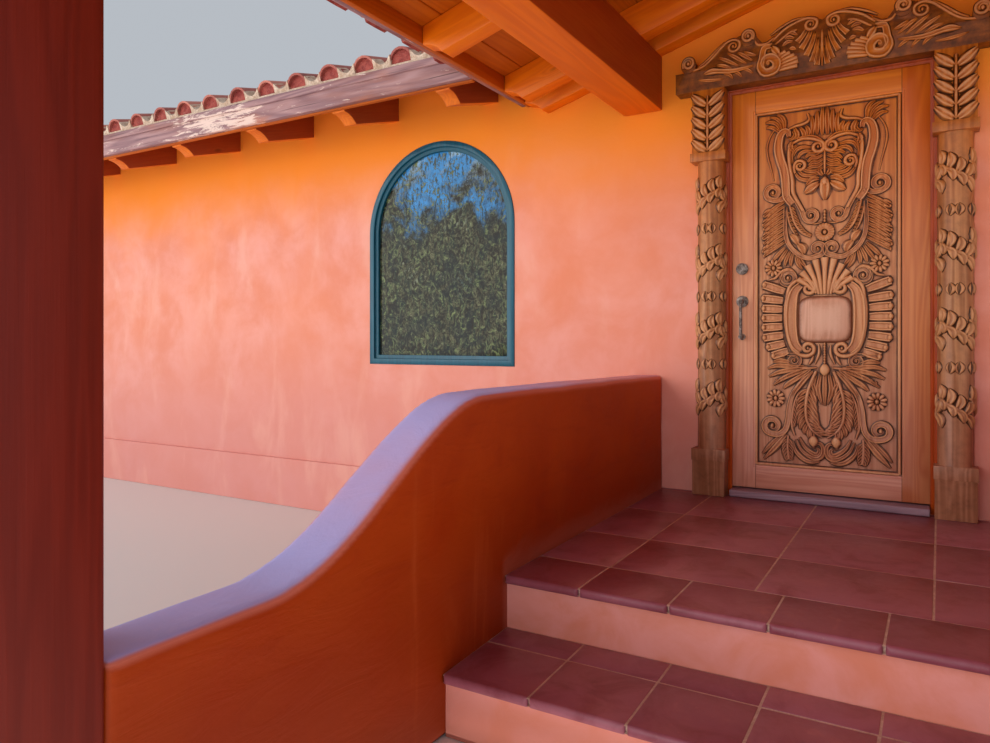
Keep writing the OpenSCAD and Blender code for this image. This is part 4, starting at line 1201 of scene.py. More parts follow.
class Carving:
    """Ridges drawn flat, in millimetres, to the right of a middle line and mirrored to its left."""

    def __init__(self, both_sides=True, bold=1.0):
        self.sides = (1, -1) if both_sides else (1,)
        self.bold = bold
        self.ridges = {kind: [] for kind in SECTIONS}

    def ridge(self, kind, widths, *points, fine=4):
        """A ridge through the points; its half width is given at its start, middle and end."""
        line = through(points, fine)
        t = np.linspace(0, 1, len(line))
        a, b, c = (w * self.bold for w in widths)
        width = np.where(t < 0.5, a + (b - a) * np.sin(np.pi * t), c + (b - c) * np.sin(np.pi * t))
        self.ridges[kind].append(np.column_stack([line, width]))

    def scroll(self, kind, widths, lead, middle, radius, turn=1.25):
        """A ridge that comes in through the lead points and curls up round the middle."""
        last = np.array(lead[-1], float) - middle
        before = np.array(lead[-2], float) - middle
        hand = np.sign(before[0] * last[1] - before[1] * last[0])
        start = math.atan2(last[1], last[0])
        reach = math.hypot(*last)
        curl = []
        steps = int(turn * 8)
        for i in range(1, steps + 1):
            t = i / steps
            if t < 0.25:
                r = reach + (radius - reach) * (4 * t)
            else:
                r = radius * (1 - 0.72 * (t - 0.25))
            a = start + hand * t * turn * math.tau
            curl.append((middle[0] + r * math.cos(a), middle[1] + r * math.sin(a)))
        self.ridge(kind, widths, *lead, *curl, fine=3)
        self.boss(middle, radius * 0.3)

    def boss(self, middle, radius):
        """A round knob."""
        u, z = middle
        self.ridge("round", (radius * 0.3, radius, radius * 0.3), (u - radius * 0.9, z), (u, z),
                   (u + radius * 0.9, z))

    def leaflets(self, rib, count, reach, lean, side, widths, first=0.08, last=0.95):
        """Leaflets along one side of a rib, long in the middle, leaning forward."""
        line = through(rib, 8)
        for i in range(count):
            t = first + (last - first) * (i + 0.5) / count
            at = t * (len(line) - 1)
            k = min(int(at), len(line) - 2)
            here = line[k] + (line[k + 1] - line[k]) * (at - k)
            ahead = (line[k + 1] - line[k]) / np.linalg.norm(line[k + 1] - line[k])
            out = np.array([-ahead[1], ahead[0]]) * side
            go = ahead * math.cos(lean) + out * math.sin(lean)
            size = reach * (0.55 + 0.45 * math.sin(math.pi * min(1, t * 1.1)))
            self.ridge("leaf", widths, here, here + go * size * 0.55 + out * size * 0.06,
                       here + go * size + ahead * size * 0.14, fine=3)

    def fan(self, feet, tips, widths, kind="round"):
        """Lobes from a row of feet to a row of tips."""
        for foot, tip in zip(feet, tips):
            bend = ((foot[0] * 0.62 + tip[0] * 0.38), (foot[1] + tip[1]) / 2)
            self.ridge(kind, widths, foot, bend, tip)

    def rosette(self, middle, radius, petals):
        """Petals round a knob."""
        w = math.pi * radius / petals * 0.62
        for i in range(petals):
            a = math.tau * (i + 0.5) / petals
            way = np.array([math.cos(a), math.sin(a)])
            self.ridge("round", (w * 0.35, w, w * 0.7),
                       *(way * radius * far + middle for far in (0.25, 0.65, 0.96)), fine=3)
        self.boss(middle, radius * 0.26)

    def beads(self, start, end, count, radius):
        """A row of knobs."""
        for t in np.linspace(0, 1, count):
            self.boss([a + (b - a) * t for a, b in zip(start, end)], radius)

    def mesh(self, depth):
        """All ridges as one piece that lies in the plane z = 0 and stays below the depth."""
        made = []
        for kind, lines in self.ridges.items():
            if not lines:
                continue
            section = flat_curve(kind + "_section", [[(x, y, 1) for x, y in SECTIONS[kind]]], True)
            both = [[(x * side, z, w) for x, z, w in line * 0.001]
                    for line in lines for side in self.sides
                    if side > 0 or np.abs(line[:, 0]).max() > 0.5]
            drawn = flat_curve(kind + "_ridges", both, False)
            drawn.data.bevel_mode = "OBJECT"
            drawn.data.bevel_object = section
            drawn.data.use_fill_caps = True
            pick(drawn)
            bpy.ops.object.convert(target="MESH")
            made.append(bpy.context.object)
            bpy.data.objects.remove(section)
        piece = edit(join(*made), bpy.ops.mesh.remove_doubles, threshold=DOUBLES / 2)
        spots = points_of(face_out(piece))
        spots[:, 2] = depth * np.tanh(spots[:, 2] * 1.6 / depth)
        move_points(piece, spots)
        # Painted shading from height: low points painted as shade, high ones as highlight
        keep(piece, "shade_and_highlight", np.clip(spots[:, 2] / depth * 1.25, 0, 1))
        return piece


# Painted shading that the material reads, low for shade and high for highlight: that of an open
# flat, what a crest adds and a steep side takes
FLAT, CREST, STEEP = 0.45, 1.6, 0.6
# Size of the cells on which neighbours are compared, and how many of them to each side
CELL, ROUND = 0.002, 4


def shade_hollows(piece, depth):
    """How deep each point of a flat carving lies among its neighbours: steep sides and flats
    between close ridges are low, open flats are middling and a lone crest is high. The material
    paints shade where this is low and a highlight where it is high."""
    spots = points_of(piece)
    edges = np.empty(len(piece.data.edges) * 2, np.int32)
    piece.data.edges.foreach_get("vertices", edges)
    a, b = spots[edges.reshape(-1, 2).T]
    count = np.ceil(np.linalg.norm(b - a, axis=1) / CELL).astype(int) + 1
    which = np.repeat(np.arange(len(a)), count)
    number = np.arange(len(which)) - np.repeat(np.cumsum(count) - count, count)
    part = number / np.maximum(count[which] - 1, 1)
    along = a[which] + (b - a)[which] * part[:, None]
    corner = spots[:, :2].min(0) - CELL * ROUND * 3
    size = ((spots[:, :2].max(0) - corner) / CELL).astype(int) + ROUND * 3 + 2
    height = np.zeros(size)
    at = ((along[:, :2] - corner) / CELL).astype(int)
    np.maximum.at(height, (at[:, 0], at[:, 1]), np.clip(along[:, 2] / depth, 0, 1))
    around = height
    for axis in (0, 1, 0, 1):
        around = sum(np.roll(around, k, axis) for k in range(-ROUND, ROUND + 1)) / (2 * ROUND + 1)
    own = ((spots[:, :2] - corner) / CELL).astype(int)
    rise = np.clip(spots[:, 2] / depth, 0, 1) - around[own[:, 0], own[:, 1]]
    faces = np.empty(len(spots) * 3, np.float32)
    piece.data.vertex_normals.foreach_get("vector", faces)
    steep = 1 - np.clip(faces.reshape(-1, 3)[:, 2], 0, 1)
    steep = np.where(spots[:, 2] > -0.0005, steep, 0)
    keep(piece, "shade_and_highlight", np.clip(FLAT + rise * CREST - steep * STEEP, 0, 1))
    return piece


def flat_curve(name, lines, closed):
    """A flat curve of straight pieces through points that each have a radius."""
    data = bpy.data.curves.new(name, "CURVE")
    data.dimensions = "2D"
    data.fill_mode = "NONE"
    for line in lines:
        spline = data.splines.new("POLY")
        spline.points.add(len(line) - 1)
        for point, (x, y, r) in zip(spline.points, line):
            point.co = (x, y, 0, 1)
            point.radius = r
        spline.use_cyclic_u = closed
    drawn = bpy.data.objects.new(name, data)
    bpy.context.scene.collection.objects.link(drawn)
    return drawn


def upright(piece, place):
    """Stands a piece that was drawn flat against a wall: up stays up, its height comes forward."""
    return move_to(piece, place, (math.pi / 2, 0, 0))


def panel_carving():
    """Lyre, shell, flutes and acanthus of the door's panel, inside a thin moulding."""
    c = Carving(bold=1.2)
    c.ridge("round", (7, 7, 7), (327, 588), (327, 1490), (327, 2397), fine=1)
    c.ridge("round", (7, 7, 7), (0, 2397), (160, 2397), (327, 2397), fine=1)
    c.ridge("round", (7, 7, 7), (0, 588), (160, 588), (327, 588), fine=1)
    # lyre straps and the leaves at their heads
    c.ridge("strap", (9, 19, 15), (168, 2262), (172, 2286), (190, 2292), (208, 2275), (217, 2240),
            (218, 2200), (208, 2150), (193, 2100), (185, 2050), (182, 2000), (180, 1965),
            (166, 1938), (150, 1918))
    for lead in (((195, 2300), (206, 2340), (232, 2366), (262, 2376)),
                 ((204, 2296), (226, 2334), (254, 2350), (284, 2350)),
                 ((212, 2290), (234, 2312), (256, 2324), (280, 2322)),
                 ((188, 2306), (190, 2345), (205, 2372), (228, 2385))):
        c.ridge("leaf", (6, 9, 3), *lead)
    c.ridge("round", (3, 4, 2), (235, 2312), (262, 2270), (275, 2220), (270, 2170), (255, 2110),
            (241, 2045))
    c.scroll("strap", (11, 11, 5), ((182, 1968), (204, 1948), (240, 1946), (272, 1962)),
             (245, 1985), 33)
    c.ridge("leaf", (5, 8, 3), (150, 2292), (140, 2270), (156, 2250), (172, 2258))
    # rim and leaves above the middle volutes
    c.ridge("round", (4, 7, 4), (80, 2370), (72, 2336), (98, 2319), (140, 2312), (176, 2298))
    for lead in (((142, 2305), (128, 2272), (131, 2244)), ((114, 2302), (96, 2272), (99, 2248)),
                 ((88, 2308), (74, 2280), (77, 2252)), ((60, 2352), (54, 2300), (58, 2254)),
                 ((36, 2374), (34, 2312), (36, 2256)), ((10, 2388), (12, 2316), (12, 2250))):
        c.ridge("leaf", (5, 11, 5), *lead)
    c.scroll("round", (6, 9, 5), ((152, 2226), (110, 2244), (62, 2240), (22, 2222)), (31, 2195), 28)
    c.ridge("round", (3, 5, 4), (158, 2246), (92, 2256), (46, 2250), (12, 2226))
    c.ridge("leaf", (5, 12, 6), (150, 2238), (160, 2212), (148, 2186))
    # wings under them
    c.ridge("leaf", (5, 9, 4), (46, 2170), (88, 2180), (114, 2168), (126, 2146))
    c.ridge("leaf", (5, 9, 4), (62, 2196), (104, 2202), (134, 2190), (148, 2160))
    c.ridge("leaf", (5, 8, 4), (130, 2216), (152, 2196), (156, 2160), (150, 2124))
    for lead in (((12, 2172), (42, 2160), (70, 2162), (92, 2148)),
                 ((10, 2152), (36, 2140), (60, 2142), (80, 2124)),
                 ((8, 2132), (32, 2118), (56, 2120), (74, 2104)),
                 ((8, 2112), (30, 2098), (58, 2098), (84, 2088)),
                 ((8, 2090), (42, 2074), (78, 2078), (104, 2090)),
                 ((18, 2066), (60, 2054), (100, 2062), (122, 2084)),
                 ((34, 2040), (74, 2032), (114, 2044), (138, 2074))):
        c.ridge("leaf", (5, 9, 5), *lead)
    c.scroll("round", (6, 8, 4), ((138, 2074), (144, 2104), (134, 2130)), (115, 2108), 23)
    c.ridge("round", (4, 6, 4), (0, 2176), (0, 2120), (0, 2056))
    # hanging flower
    for lead, w in ((((6, 2030), (0, 1985), (0, 1926)), 21),
                    (((26, 2014), (62, 1992), (94, 1968)), 17),
                    (((26, 2036), (58, 2034), (88, 2006)), 13),
                    (((8, 2050), (22, 2066), (24, 2088)), 10)):
        c.ridge("leaf", (w * 0.5, w, w * 0.3), *lead)
    c.boss((0, 2018), 20)
    # lower edge of the lyre, its beads and its flower
    c.ridge("round", (6, 9, 7), (158, 2236), (168, 2190), (164, 2110), (152, 2040), (150, 1985),
            (138, 1950), (118, 1912), (102, 1880))
    c.scroll("strap", (10, 10, 5), ((152, 1968), (128, 1925), (106, 1880), (94, 1842)), (64, 1854),
             30)
    c.beads((0, 1868), (0, 1822), 4, 8)
    c.ridge("round", (2, 4, 2), (10, 1815), (50, 1811), (88, 1824))
    c.rosette((0, 1766), 46, 9)
    # serrated inner leaves
    inner = ((168, 1932), (155, 1872), (137, 1815), (106, 1770), (64, 1744))
    c.ridge("round", (5, 6, 3), *inner)
    c.leaflets(inner, 11, 34, 0.7, -1, (4, 7, 2))
    second = ((178, 1900), (172, 1850), (156, 1796), (132, 1752))
    c.ridge("round", (3, 5, 2), *second)
    c.leaflets(second, 7, 24, 0.8, -1, (3, 6, 2))
    # great curves with their volutes
    c.scroll("strap", (8, 11, 6), ((184, 1905), (187, 1830), (181, 1750), (158, 1698), (118, 1658),
                                   (76, 1640), (36, 1648)), (32, 1686), 28)
    c.ridge("leaf", (6, 15, 6), (160, 1764), (138, 1742), (124, 1712))
    c.ridge("leaf", (6, 16, 6), (128, 1716), (104, 1692), (96, 1662))
    # feathered wings
    for k in range(10):
        z = 1936 - 23 * k
        far = 292 - 6 * math.sin(k * 2.1)
        c.ridge("leaf", (5, 9, 6), (188, z), (238, z - 30), (far, z - 70 - 5 * math.sin(k * 1.3)))
        c.ridge("round", (3, 6, 3), (far - 40, z - 34), (far - 18, z - 40), (far, z - 52))
        c.boss((far - 2, z - 66), 7)
    for lead in (((186, 1702), (222, 1664), (250, 1632)), ((176, 1690), (202, 1648), (224, 1614)),
                 ((162, 1680), (180, 1640), (190, 1606)), ((148, 1670), (158, 1636), (160, 1602)),
                 ((136, 1658), (126, 1620), (104, 1584)), ((120, 1652), (106, 1622), (88, 1598))):
        c.ridge("leaf", (5, 9, 4), *lead)
    c.rosette((243, 1598), 44, 11)
    c.scroll("strap", (6, 10, 5), ((214, 1588), (208, 1560), (204, 1524), (180, 1508)), (172, 1544),
             33, 1.5)
    c.ridge("round", (4, 7, 4), (140, 1572), (168, 1590), (204, 1578), (232, 1548), (262, 1540))
    # shell
    c.ridge("round", (7, 10, 17), (0, 1458), (0, 1560), (0, 1640))
    c.fan(((14, 1458), (27, 1458), (39, 1462), (50, 1470)), ((43, 1630), (79, 1604), (106, 1570),
                                                             (124, 1536)), (6, 10, 15))
    # cushion's straps
    c.ridge("strap", (14, 24, 14), (112, 1506), (140, 1474), (153, 1420), (157, 1345), (153, 1270),
            (138, 1208), (108, 1172))
    c.scroll("round", (8, 9, 6), ((178, 1440), (168, 1490), (140, 1524), (100, 1534), (68, 1524)),
             (73, 1487), 26)
    c.scroll("round", (8, 9, 6), ((182, 1330), (174, 1250), (148, 1180), (112, 1152), (76, 1150)),
             (78, 1187), 26)
    c.ridge("round", (7, 8, 7), (174, 1460), (184, 1400), (185, 1330), (180, 1270))
    # flutes round them
    for a, b in (((188, 1476), (290, 1514)), ((196, 1430), (296, 1444)), ((199, 1386), (294, 1392)),
                 ((200, 1342), (294, 1342)), ((199, 1298), (294, 1293)), ((196, 1254), (290, 1240)),
                 ((188, 1212), (272, 1192)), ((172, 1174), (246, 1148))):
        middle = ((a[0] + b[0]) / 2, (a[1] + b[1]) / 2)
        c.ridge("strap", (14, 18, 17), a, middle, b)
        c.boss((b[0] - 3, b[1]), 14)
    # pendant
    c.beads((0, 1208), (0, 1104), 9, 8)
    c.ridge("round", (3, 6, 3), (28, 1206), (27, 1160), (46, 1108))
    c.ridge("round", (3, 6, 3), (52, 1150), (60, 1126), (74, 1104))
    c.scroll("strap", (6, 10, 5), ((196, 1160), (170, 1156), (150, 1154), (122, 1142)), (142, 1125),
             26)
    c.ridge("round", (4, 6, 4), (36, 1090), (86, 1086), (136, 1090))
    c.boss((0, 1080), 26)
    # acanthus spray
    c.ridge("leaf", (8, 10, 4), (0, 1060), (0, 980), (0, 900))
    c.ridge("leaf", (6, 10, 3), (20, 1056), (30, 980), (12, 906))
    c.ridge("leaf", (5, 9, 3), (40, 1050), (52, 1000), (34, 946))
    spray = ((40, 1072), (66, 1008), (84, 940), (88, 872), (80, 816), (52, 770), (12, 742))
    c.ridge("round", (7, 8, 4), *spray)
    c.leaflets(spray, 10, 96, 0.72, -1, (5, 11, 3), first=0.1)
    c.leaflets(spray, 9, 66, 0.7, 1, (4, 10, 3), first=0.2, last=0.86)
    c.scroll("strap", (8, 13, 6), ((60, 1078), (112, 1012), (150, 950), (167, 880), (172, 820),
                                   (184, 774), (214, 748), (250, 748)), (248, 789), 38)
    c.ridge("round", (3, 7, 4), (120, 968), (142, 910), (152, 850), (154, 792), (140, 744))
    c.leaflets(((120, 968), (142, 910), (152, 850), (154, 792)), 7, 42, 0.55, -1, (4, 8, 3))
    for lead in (((70, 1086), (130, 1064), (190, 1036), (244, 998)),
                 ((80, 1090), (150, 1078), (214, 1064), (266, 1040)),
                 ((96, 1094), (160, 1094), (222, 1098), (272, 1082)),
                 ((66, 1080), (118, 1042), (170, 1006), (196, 980)),
                 ((56, 1070), (96, 1026), (130, 980), (150, 948)),
                 ((160, 1112), (206, 1124), (246, 1116)),
                 ((186, 1146), (222, 1152), (250, 1138))):
        c.ridge("leaf", (6, 11, 4), *lead)
    c.leaflets(((90, 1086), (160, 1062), (240, 1020)), 8, 30, 0.7, -1, (4, 7, 2))
    c.rosette((232, 930), 46, 11)
    # curled leaves at the foot
    for lead in (((134, 726), (112, 678), (76, 646), (40, 634), (12, 652), (8, 692), (26, 712),
                  (46, 700)),
                 ((118, 738), (94, 692), (62, 664), (36, 656), (26, 676), (38, 688)),
                 ((150, 716), (136, 668), (100, 630), (60, 616), (22, 622))):
        c.ridge("leaf", (4, 10, 4), *lead)
    c.boss((52, 722), 24)
    c.ridge("leaf", (7, 12, 3), (182, 748), (228, 686), (292, 612))
    c.ridge("leaf", (5, 9, 3), (204, 746), (256, 690), (298, 640))
    foot = ((172, 742), (174, 684), (168, 622))
    c.ridge("round", (5, 7, 8), *foot)
    c.leaflets(foot, 6, 44, 0.65, 1, (4, 8, 3))
    c.leaflets(foot, 6, 40, 0.65, -1, (4, 8, 3))
    return c


def column_carving():
    """Four bands of tied leaves, cut flat as if the shaft were unrolled."""
    c = Carving(False, 1.25)
    for z in (1988, 1634, 1279, 930):
        for u0 in (-116, 14, 144):
            c.ridge("round", (5, 7, 5), (u0 - 66, z - 42), (u0, z), (u0 + 64, z + 38))
            for k in range(4):
                foot = np.array((u0 - 50 + 32 * k, z - 33 + 21 * k))
                for lean, rise in ((-20 + 9 * k, 74 - 6 * abs(k - 2)), (-36 + 9 * k, -68 + 5 * k)):
                    tip = foot + (lean, rise)
                    side = np.array((-0.16 * rise, 0.16 * lean)) * (1 if rise > 0 else -1)
                    c.ridge("leaf", (7, 14, 1.4), foot, (foot + tip) / 2 + side, tip)
    for z in (1812, 1457, 1104):
        for u in (-108, -76, -20, 14, 76, 108):
            c.ridge("round", (1, 7, 1), (u + 6, z + 28), (u - 6, z), (u + 8, z - 30))
            c.ridge("round", (1, 5, 1), (u + 12, z + 24), (u + 20, z), (u + 12, z - 26))
    return c


def capital_carving():
    """Pairs of grooved leaves on either side of a stem."""
    c = Carving(bold=1.25)
    c.ridge("round", (5, 6, 5), (0, 2212), (0, 2350), (0, 2500))
    for k in range(5):
        z = 2214 + k * 59
        tip = min(z + 62, 2520)
        c.ridge("leaf", (8, 15, 7), (7, z), (40, z + 26), (80, tip))
    return c


def header_carving():
    """Leaves, feathers and volutes of one half of the header; the other half mirrors them."""
    c = Carving(bold=1.3)
    # rims along the top edge
    c.scroll("round", (5, 6, 4), ((676, 2648), (610, 2646), (560, 2664), (510, 2706), (462, 2750),
                                  (424, 2764), (392, 2752)), (420, 2730), 26)
    c.ridge("round", (4, 5, 3), (600, 2656), (556, 2682), (506, 2726), (462, 2762))
    c.ridge("round", (4, 6, 4), (216, 2738), (256, 2712), (296, 2714), (314, 2738))
    c.scroll("round", (5, 7, 4), ((230, 2716), (176, 2762), (116, 2788), (66, 2796), (28, 2782)),
             (52, 2764), 26)
    c.ridge("round", (4, 6, 4), (214, 2700), (150, 2742), (112, 2752))
    c.ridge("round", (3, 5, 3), (240, 2748), (190, 2776), (130, 2800), (80, 2804))
    # leaves at the ends
    rib = ((566, 2616), (500, 2618), (420, 2606), (322, 2614))
    c.ridge("leaf", (3, 12, 5), (572, 2614), (524, 2622), (470, 2614))
    c.ridge("leaf", (5, 10, 4), *rib)
    for lead in (((506, 2650), (468, 2640), (424, 2618)), ((498, 2690), (448, 2662), (386, 2622)),
                 ((452, 2704), (408, 2672), (350, 2628)), ((404, 2700), (368, 2674), (322, 2640)),
                 ((368, 2694), (340, 2676), (304, 2662))):
        c.ridge("leaf", (2, 8, 2), *lead)
    for lead in (((600, 2590), (540, 2578), (470, 2574)), ((470, 2600), (440, 2590), (420, 2566)),
                 ((420, 2600), (396, 2590), (376, 2566)), ((370, 2604), (346, 2596), (322, 2576))):
        c.ridge("leaf", (2, 7, 2), *lead)
    # volute and fan
    c.scroll("strap", (9, 17, 9), ((230, 2696), (268, 2690), (278, 2640), (286, 2598), (262, 2566),
                                   (218, 2574)), (246, 2612), 30, 1.0)
    c.fan(((200, 2566), (196, 2578), (194, 2592), (194, 2606), (198, 2620), (206, 2632)),
          ((112, 2576), (108, 2596), (112, 2616), (126, 2632), (146, 2646), (166, 2654)), (5, 8, 9))
    c.ridge("leaf", (5, 14, 6), (232, 2690), (214, 2668), (196, 2640))
    # palmette in the middle
    c.ridge("round", (4, 6, 3), (0, 2726), (0, 2640), (0, 2552))
    c.fan(((10, 2650), (18, 2694), (30, 2724), (46, 2744), (66, 2752)),
          ((24, 2560), (46, 2580), (72, 2614), (94, 2652), (112, 2688)), (4, 8, 11), "strap")
    for lead in (((182, 2684), (158, 2700), (130, 2698)), ((172, 2714), (150, 2722), (124, 2710)),
                 ((154, 2740), (134, 2740), (110, 2724)), ((150, 2662), (134, 2664), (118, 2654))):
        c.ridge("leaf", (3, 8, 2), *lead)
    return c


def knob_carving():
    """Curls on the round ends that stand proud of the header."""
    c = Carving(bold=1.2)
    c.scroll("round", (5, 6, 4), ((676, 2662), (679, 2683)), (650, 2683), 28, 1.6)
    c.scroll("round", (5, 6, 4), ((322, 2744), (316, 2766)), (345, 2766), 28, 1.6)
    return c


# Door

UP = (0, 0, 1)
COLUMN_X = 0.55
SHAFT_Y = -0.02
# Radius of the CAD model's shafts, and of those that carry the carved leaves
PLAIN_SHAFT_R = 0.075
SHAFT_R = 0.069
# Painted shading of the columns and of the header where nothing is carved
COLUMN_SHADING = 0.36
HEADER_SHADING = 0.22
CUSHION_H = 0.026
# Edges that turn by less than this, in degrees, are smooth in a carving
CARVED_ANGLE = 50


def make_cushion():
    """Domed rounded square in the middle of the panel."""
    bpy.ops.mesh.primitive_uv_sphere_add(segments=48, ring_count=24, radius=1)
    dome = cut(settle(bpy.context.object), [((0, 0, -0.05), (0, 0, -1))])
    spots = points_of(dome)
    far = np.maximum(np.hypot(spots[:, 0], spots[:, 1]), 0.0001)
    across, along = np.abs(spots[:, 0]) / far, np.abs(spots[:, 1]) / far
    square = np.maximum(across ** 5 + along ** 5, 0.1) ** -0.2
    spots[:, 0] *= square * 0.124
    spots[:, 1] *= square * 0.117
    spots[:, 2] = np.where(spots[:, 2] > 0, np.abs(spots[:, 2]) ** 0.8, spots[:, 2]) * CUSHION_H
    move_points(dome, spots)
    # Painted shade towards the edges, painted highlight on the top of the dome
    keep(smooth(dome), "shade_and_highlight", np.clip(spots[:, 2] / CUSHION_H, 0, 1) ** 2)
    return upright(dome, (-0.004, 0.036, 1.331))


def make_panel(look):
    """The carved panel and its cushion."""
    bpy.ops.mesh.primitive_grid_add(x_subdivisions=66, y_subdivisions=182, size=1,
                                    location=(0.004, 1.4925, -0.001))
    bpy.context.object.scale = (0.668, 1.822, 1)
    base = modify(settle(bpy.context.object), "SOLIDIFY", thickness=0.022, offset=-1)
    panel = join(base, panel_carving().mesh(look.carving_depth))
    panel = upright(shade_hollows(panel, look.carving_depth), (-0.004, 0.039, 0))
    place_in(grain(smooth(panel, CARVED_ANGLE), look.seed, UP, True), "carved_panel", "carving",
             "carved_wood", "door", "door_panel")
    place_in(grain(make_cushion(), look.seed + 1, UP), "cushion", "cushion", "carved_wood", "door")


def make_columns(look):
    """Columns whose shafts are wrapped in carved leaves, under carved capitals."""
    columns = twin("door_columns")
    spots = points_of(columns)
    for x in (-COLUMN_X, COLUMN_X):
        away = np.hypot(spots[:, 0] - x, spots[:, 1] - SHAFT_Y)
        shaft = (np.abs(away - PLAIN_SHAFT_R) < 0.0012) & (spots[:, 1] < -0.001)
        for i, middle in ((0, x), (1, SHAFT_Y)):
            spots[shaft, i] = middle + (spots[shaft, i] - middle) * SHAFT_R / PLAIN_SHAFT_R
    move_points(columns, spots)
    soften(columns, 0.005)
    keep(columns, "shade_and_highlight", np.full(len(columns.data.vertices), COLUMN_SHADING))
    made = [columns]
    depth = look.carving_depth * 0.7
    for x in (-COLUMN_X, COLUMN_X):
        leaves = shade_hollows(column_carving().mesh(depth), depth)
        if x > 0:
            mirror_x(leaves)
        spots = points_of(leaves)
        turn = spots[:, 0] / SHAFT_R
        out = SHAFT_R + spots[:, 2]
        move_points(leaves, np.column_stack([x + out * np.sin(turn), SHAFT_Y - out * np.cos(turn),
                                             spots[:, 1]]))
        made.append(cut(leaves, [((0, -0.001, 0), (0, 1, 0))]))
        capital = shade_hollows(capital_carving().mesh(depth), depth)
        made.append(upright(capital, (x, -0.094, 0)))
    columns = smooth(join(*made), CARVED_ANGLE)
    place_in(grain(columns, look.seed, UP, True), "columns", "column", "carved_wood", "house",
             "door_columns")


def make_header(look):
    """The header, with its leaves and the curls on its round ends."""
    header = soften(twin("door_header"), 0.005)
    keep(header, "shade_and_highlight", np.full(len(header.data.vertices), HEADER_SHADING))
    depth = look.carving_depth * 0.8
    leaves = upright(shade_hollows(header_carving().mesh(depth), depth), (0, -0.089, 0))
    curls = upright(knob_carving().mesh(depth * 0.6), (0, -0.0975, 0))
    header = smooth(join(header, leaves, curls), CARVED_ANGLE)
    place_in(grain(header, look.seed, (1, 0, 0), True), "header", "column", "carved_wood", "house",
             "door_header")


def make_door(look):
    """The door leaf with its panel, its frame between the columns, the header and the brass."""
    seed = look.seed
    grain(worn_copy("door_stiles", "door", "carved_wood", "door", 0.003, "door_leaf"), seed, UP)
    make_panel(look)
    grain(worn_copy("door_jambs", "jamb", "carved_wood", "house", 0.003, "door_frame"), seed, UP)
    grain(worn_copy("door_sill", "sill", "carved_wood", "house", 0.006, "door_threshold",
                    segments=3), seed)
    make_columns(look)
    make_header(look)
    worn_copy("lockset", "brass", "aged_brass", "door", 0.002, "door_lockset")
    for name, body, node in (("hinges", "house", "door_hinges"),
                             ("hinge_leaves", "door", "door_hinge_plates")):
        worn_copy(name, "brass", "aged_brass", body, 0.0008, node, segments=1)


# Stage

# The picture's size, the camera's focal length and the height of its horizon, all in pixels
IMAGE_W, IMAGE_H = 990, 743
FOCAL_PX = 747
HORIZON_PX = 341.7
CAMERA_AT = (0.49, -4.0, 1.22)
CAMERA_TURN = 30.8
SENSOR_W = 36


def make_camera():
    """The camera that the sizes were solved with: level, its horizon moved by the lens."""
    turn = (math.pi / 2, 0, math.radians(CAMERA_TURN))
    bpy.ops.object.camera_add(location=CAMERA_AT, rotation=turn)
    eye = bpy.context.object
    eye.data.sensor_width = SENSOR_W
    eye.data.lens = SENSOR_W * FOCAL_PX / IMAGE_W
    eye.data.shift_y = (HORIZON_PX - IMAGE_H / 2) / IMAGE_W
    eye.data.clip_start = 0.05
    bpy.context.scene.camera = eye


def pale_floor(color):
    """Plain floor in one faintly cloudy colour."""
    f = Finish("pale_floor", 0.9)
    clouds = f.noise(f.place(), 0.3, 2)
    f.wear("Base Color", f.mix(clouds * 0.05, tuple(color) + (1,), rgb(190, 186, 180)))
    return f.material


def soft_box(place, turn, size, power, spread):
    """A wide soft lamp that the camera doesn't see."""
    bpy.ops.object.light_add(type="AREA", location=place, rotation=turn)
    lamp = bpy.context.object
    lamp.data.shape = "RECTANGLE"
    lamp.data.size, lamp.data.size_y = size
    lamp.data.energy = power
    lamp.data.spread = math.radians(spread)
    lamp.data.color = (1.0, 0.95, 0.88)
    lamp.visible_camera = False
    lamp.visible_glossy = False


def make_stage(look):
    """Floor, a soft key light, two soft boxes and light from all round."""
    bpy.ops.mesh.primitive_plane_add(size=80, location=(0, 0, -0.002))
    floor = bpy.context.object
    floor.name = "stage_floor"
    floor.data.materials.append(pale_floor(look.floor_color))
    bpy.ops.object.light_add(type="SUN", rotation=(math.radians(71), 0, math.radians(-42)))
    sun = bpy.context.object
    sun.data.energy = look.sun
    sun.data.angle = math.radians(look.sun_size)
    sun.data.color = (1.0, 0.97, 0.93)
    soft_box((-1, -15, 2.7), (math.pi / 2, 0, 0), (26, 5.2), look.fill, 50)
    soft_box((-2.5, -5.6, 0.01), (math.pi, 0, 0), (15, 8), look.glow, 180)
    scene = bpy.context.scene
    scene.world = scene.world or bpy.data.worlds.new("world")
    scene.world.use_nodes = True
    around = scene.world.node_tree.nodes["Background"]
    around.inputs["Color"].default_value = (0.86, 0.92, 1.0, 1)
    around.inputs["Strength"].default_value = look.around
    scene.view_settings.view_transform = "Standard"


# Add-on

class HousePlaster(bpy.types.PropertyGroup):
    """Hand-trowelled plaster on the low walls"""
    trowel_size: FloatProperty(name="Trowel size", description="Size of the plaster's facets",
                               default=0.013, min=0.01, unit="LENGTH")
    trowel_waves: FloatProperty(name="Waves", description="How far the plaster strays from true",
                                default=0.004, min=0, unit="LENGTH")
    seed: IntProperty(name="Seed", description="Draw of the waves and of the paving's tones",
                      default=5, min=1)


class HouseTimber(bpy.types.PropertyGroup):
    """Beams, rafters and boards"""
    board_w: FloatProperty(name="Board width", description="Width of a roof board with its joint",
                           default=0.142, min=0.05, unit="LENGTH")
    seed: IntProperty(name="Seed", description="Draw of the boards' grain and tones", default=11)


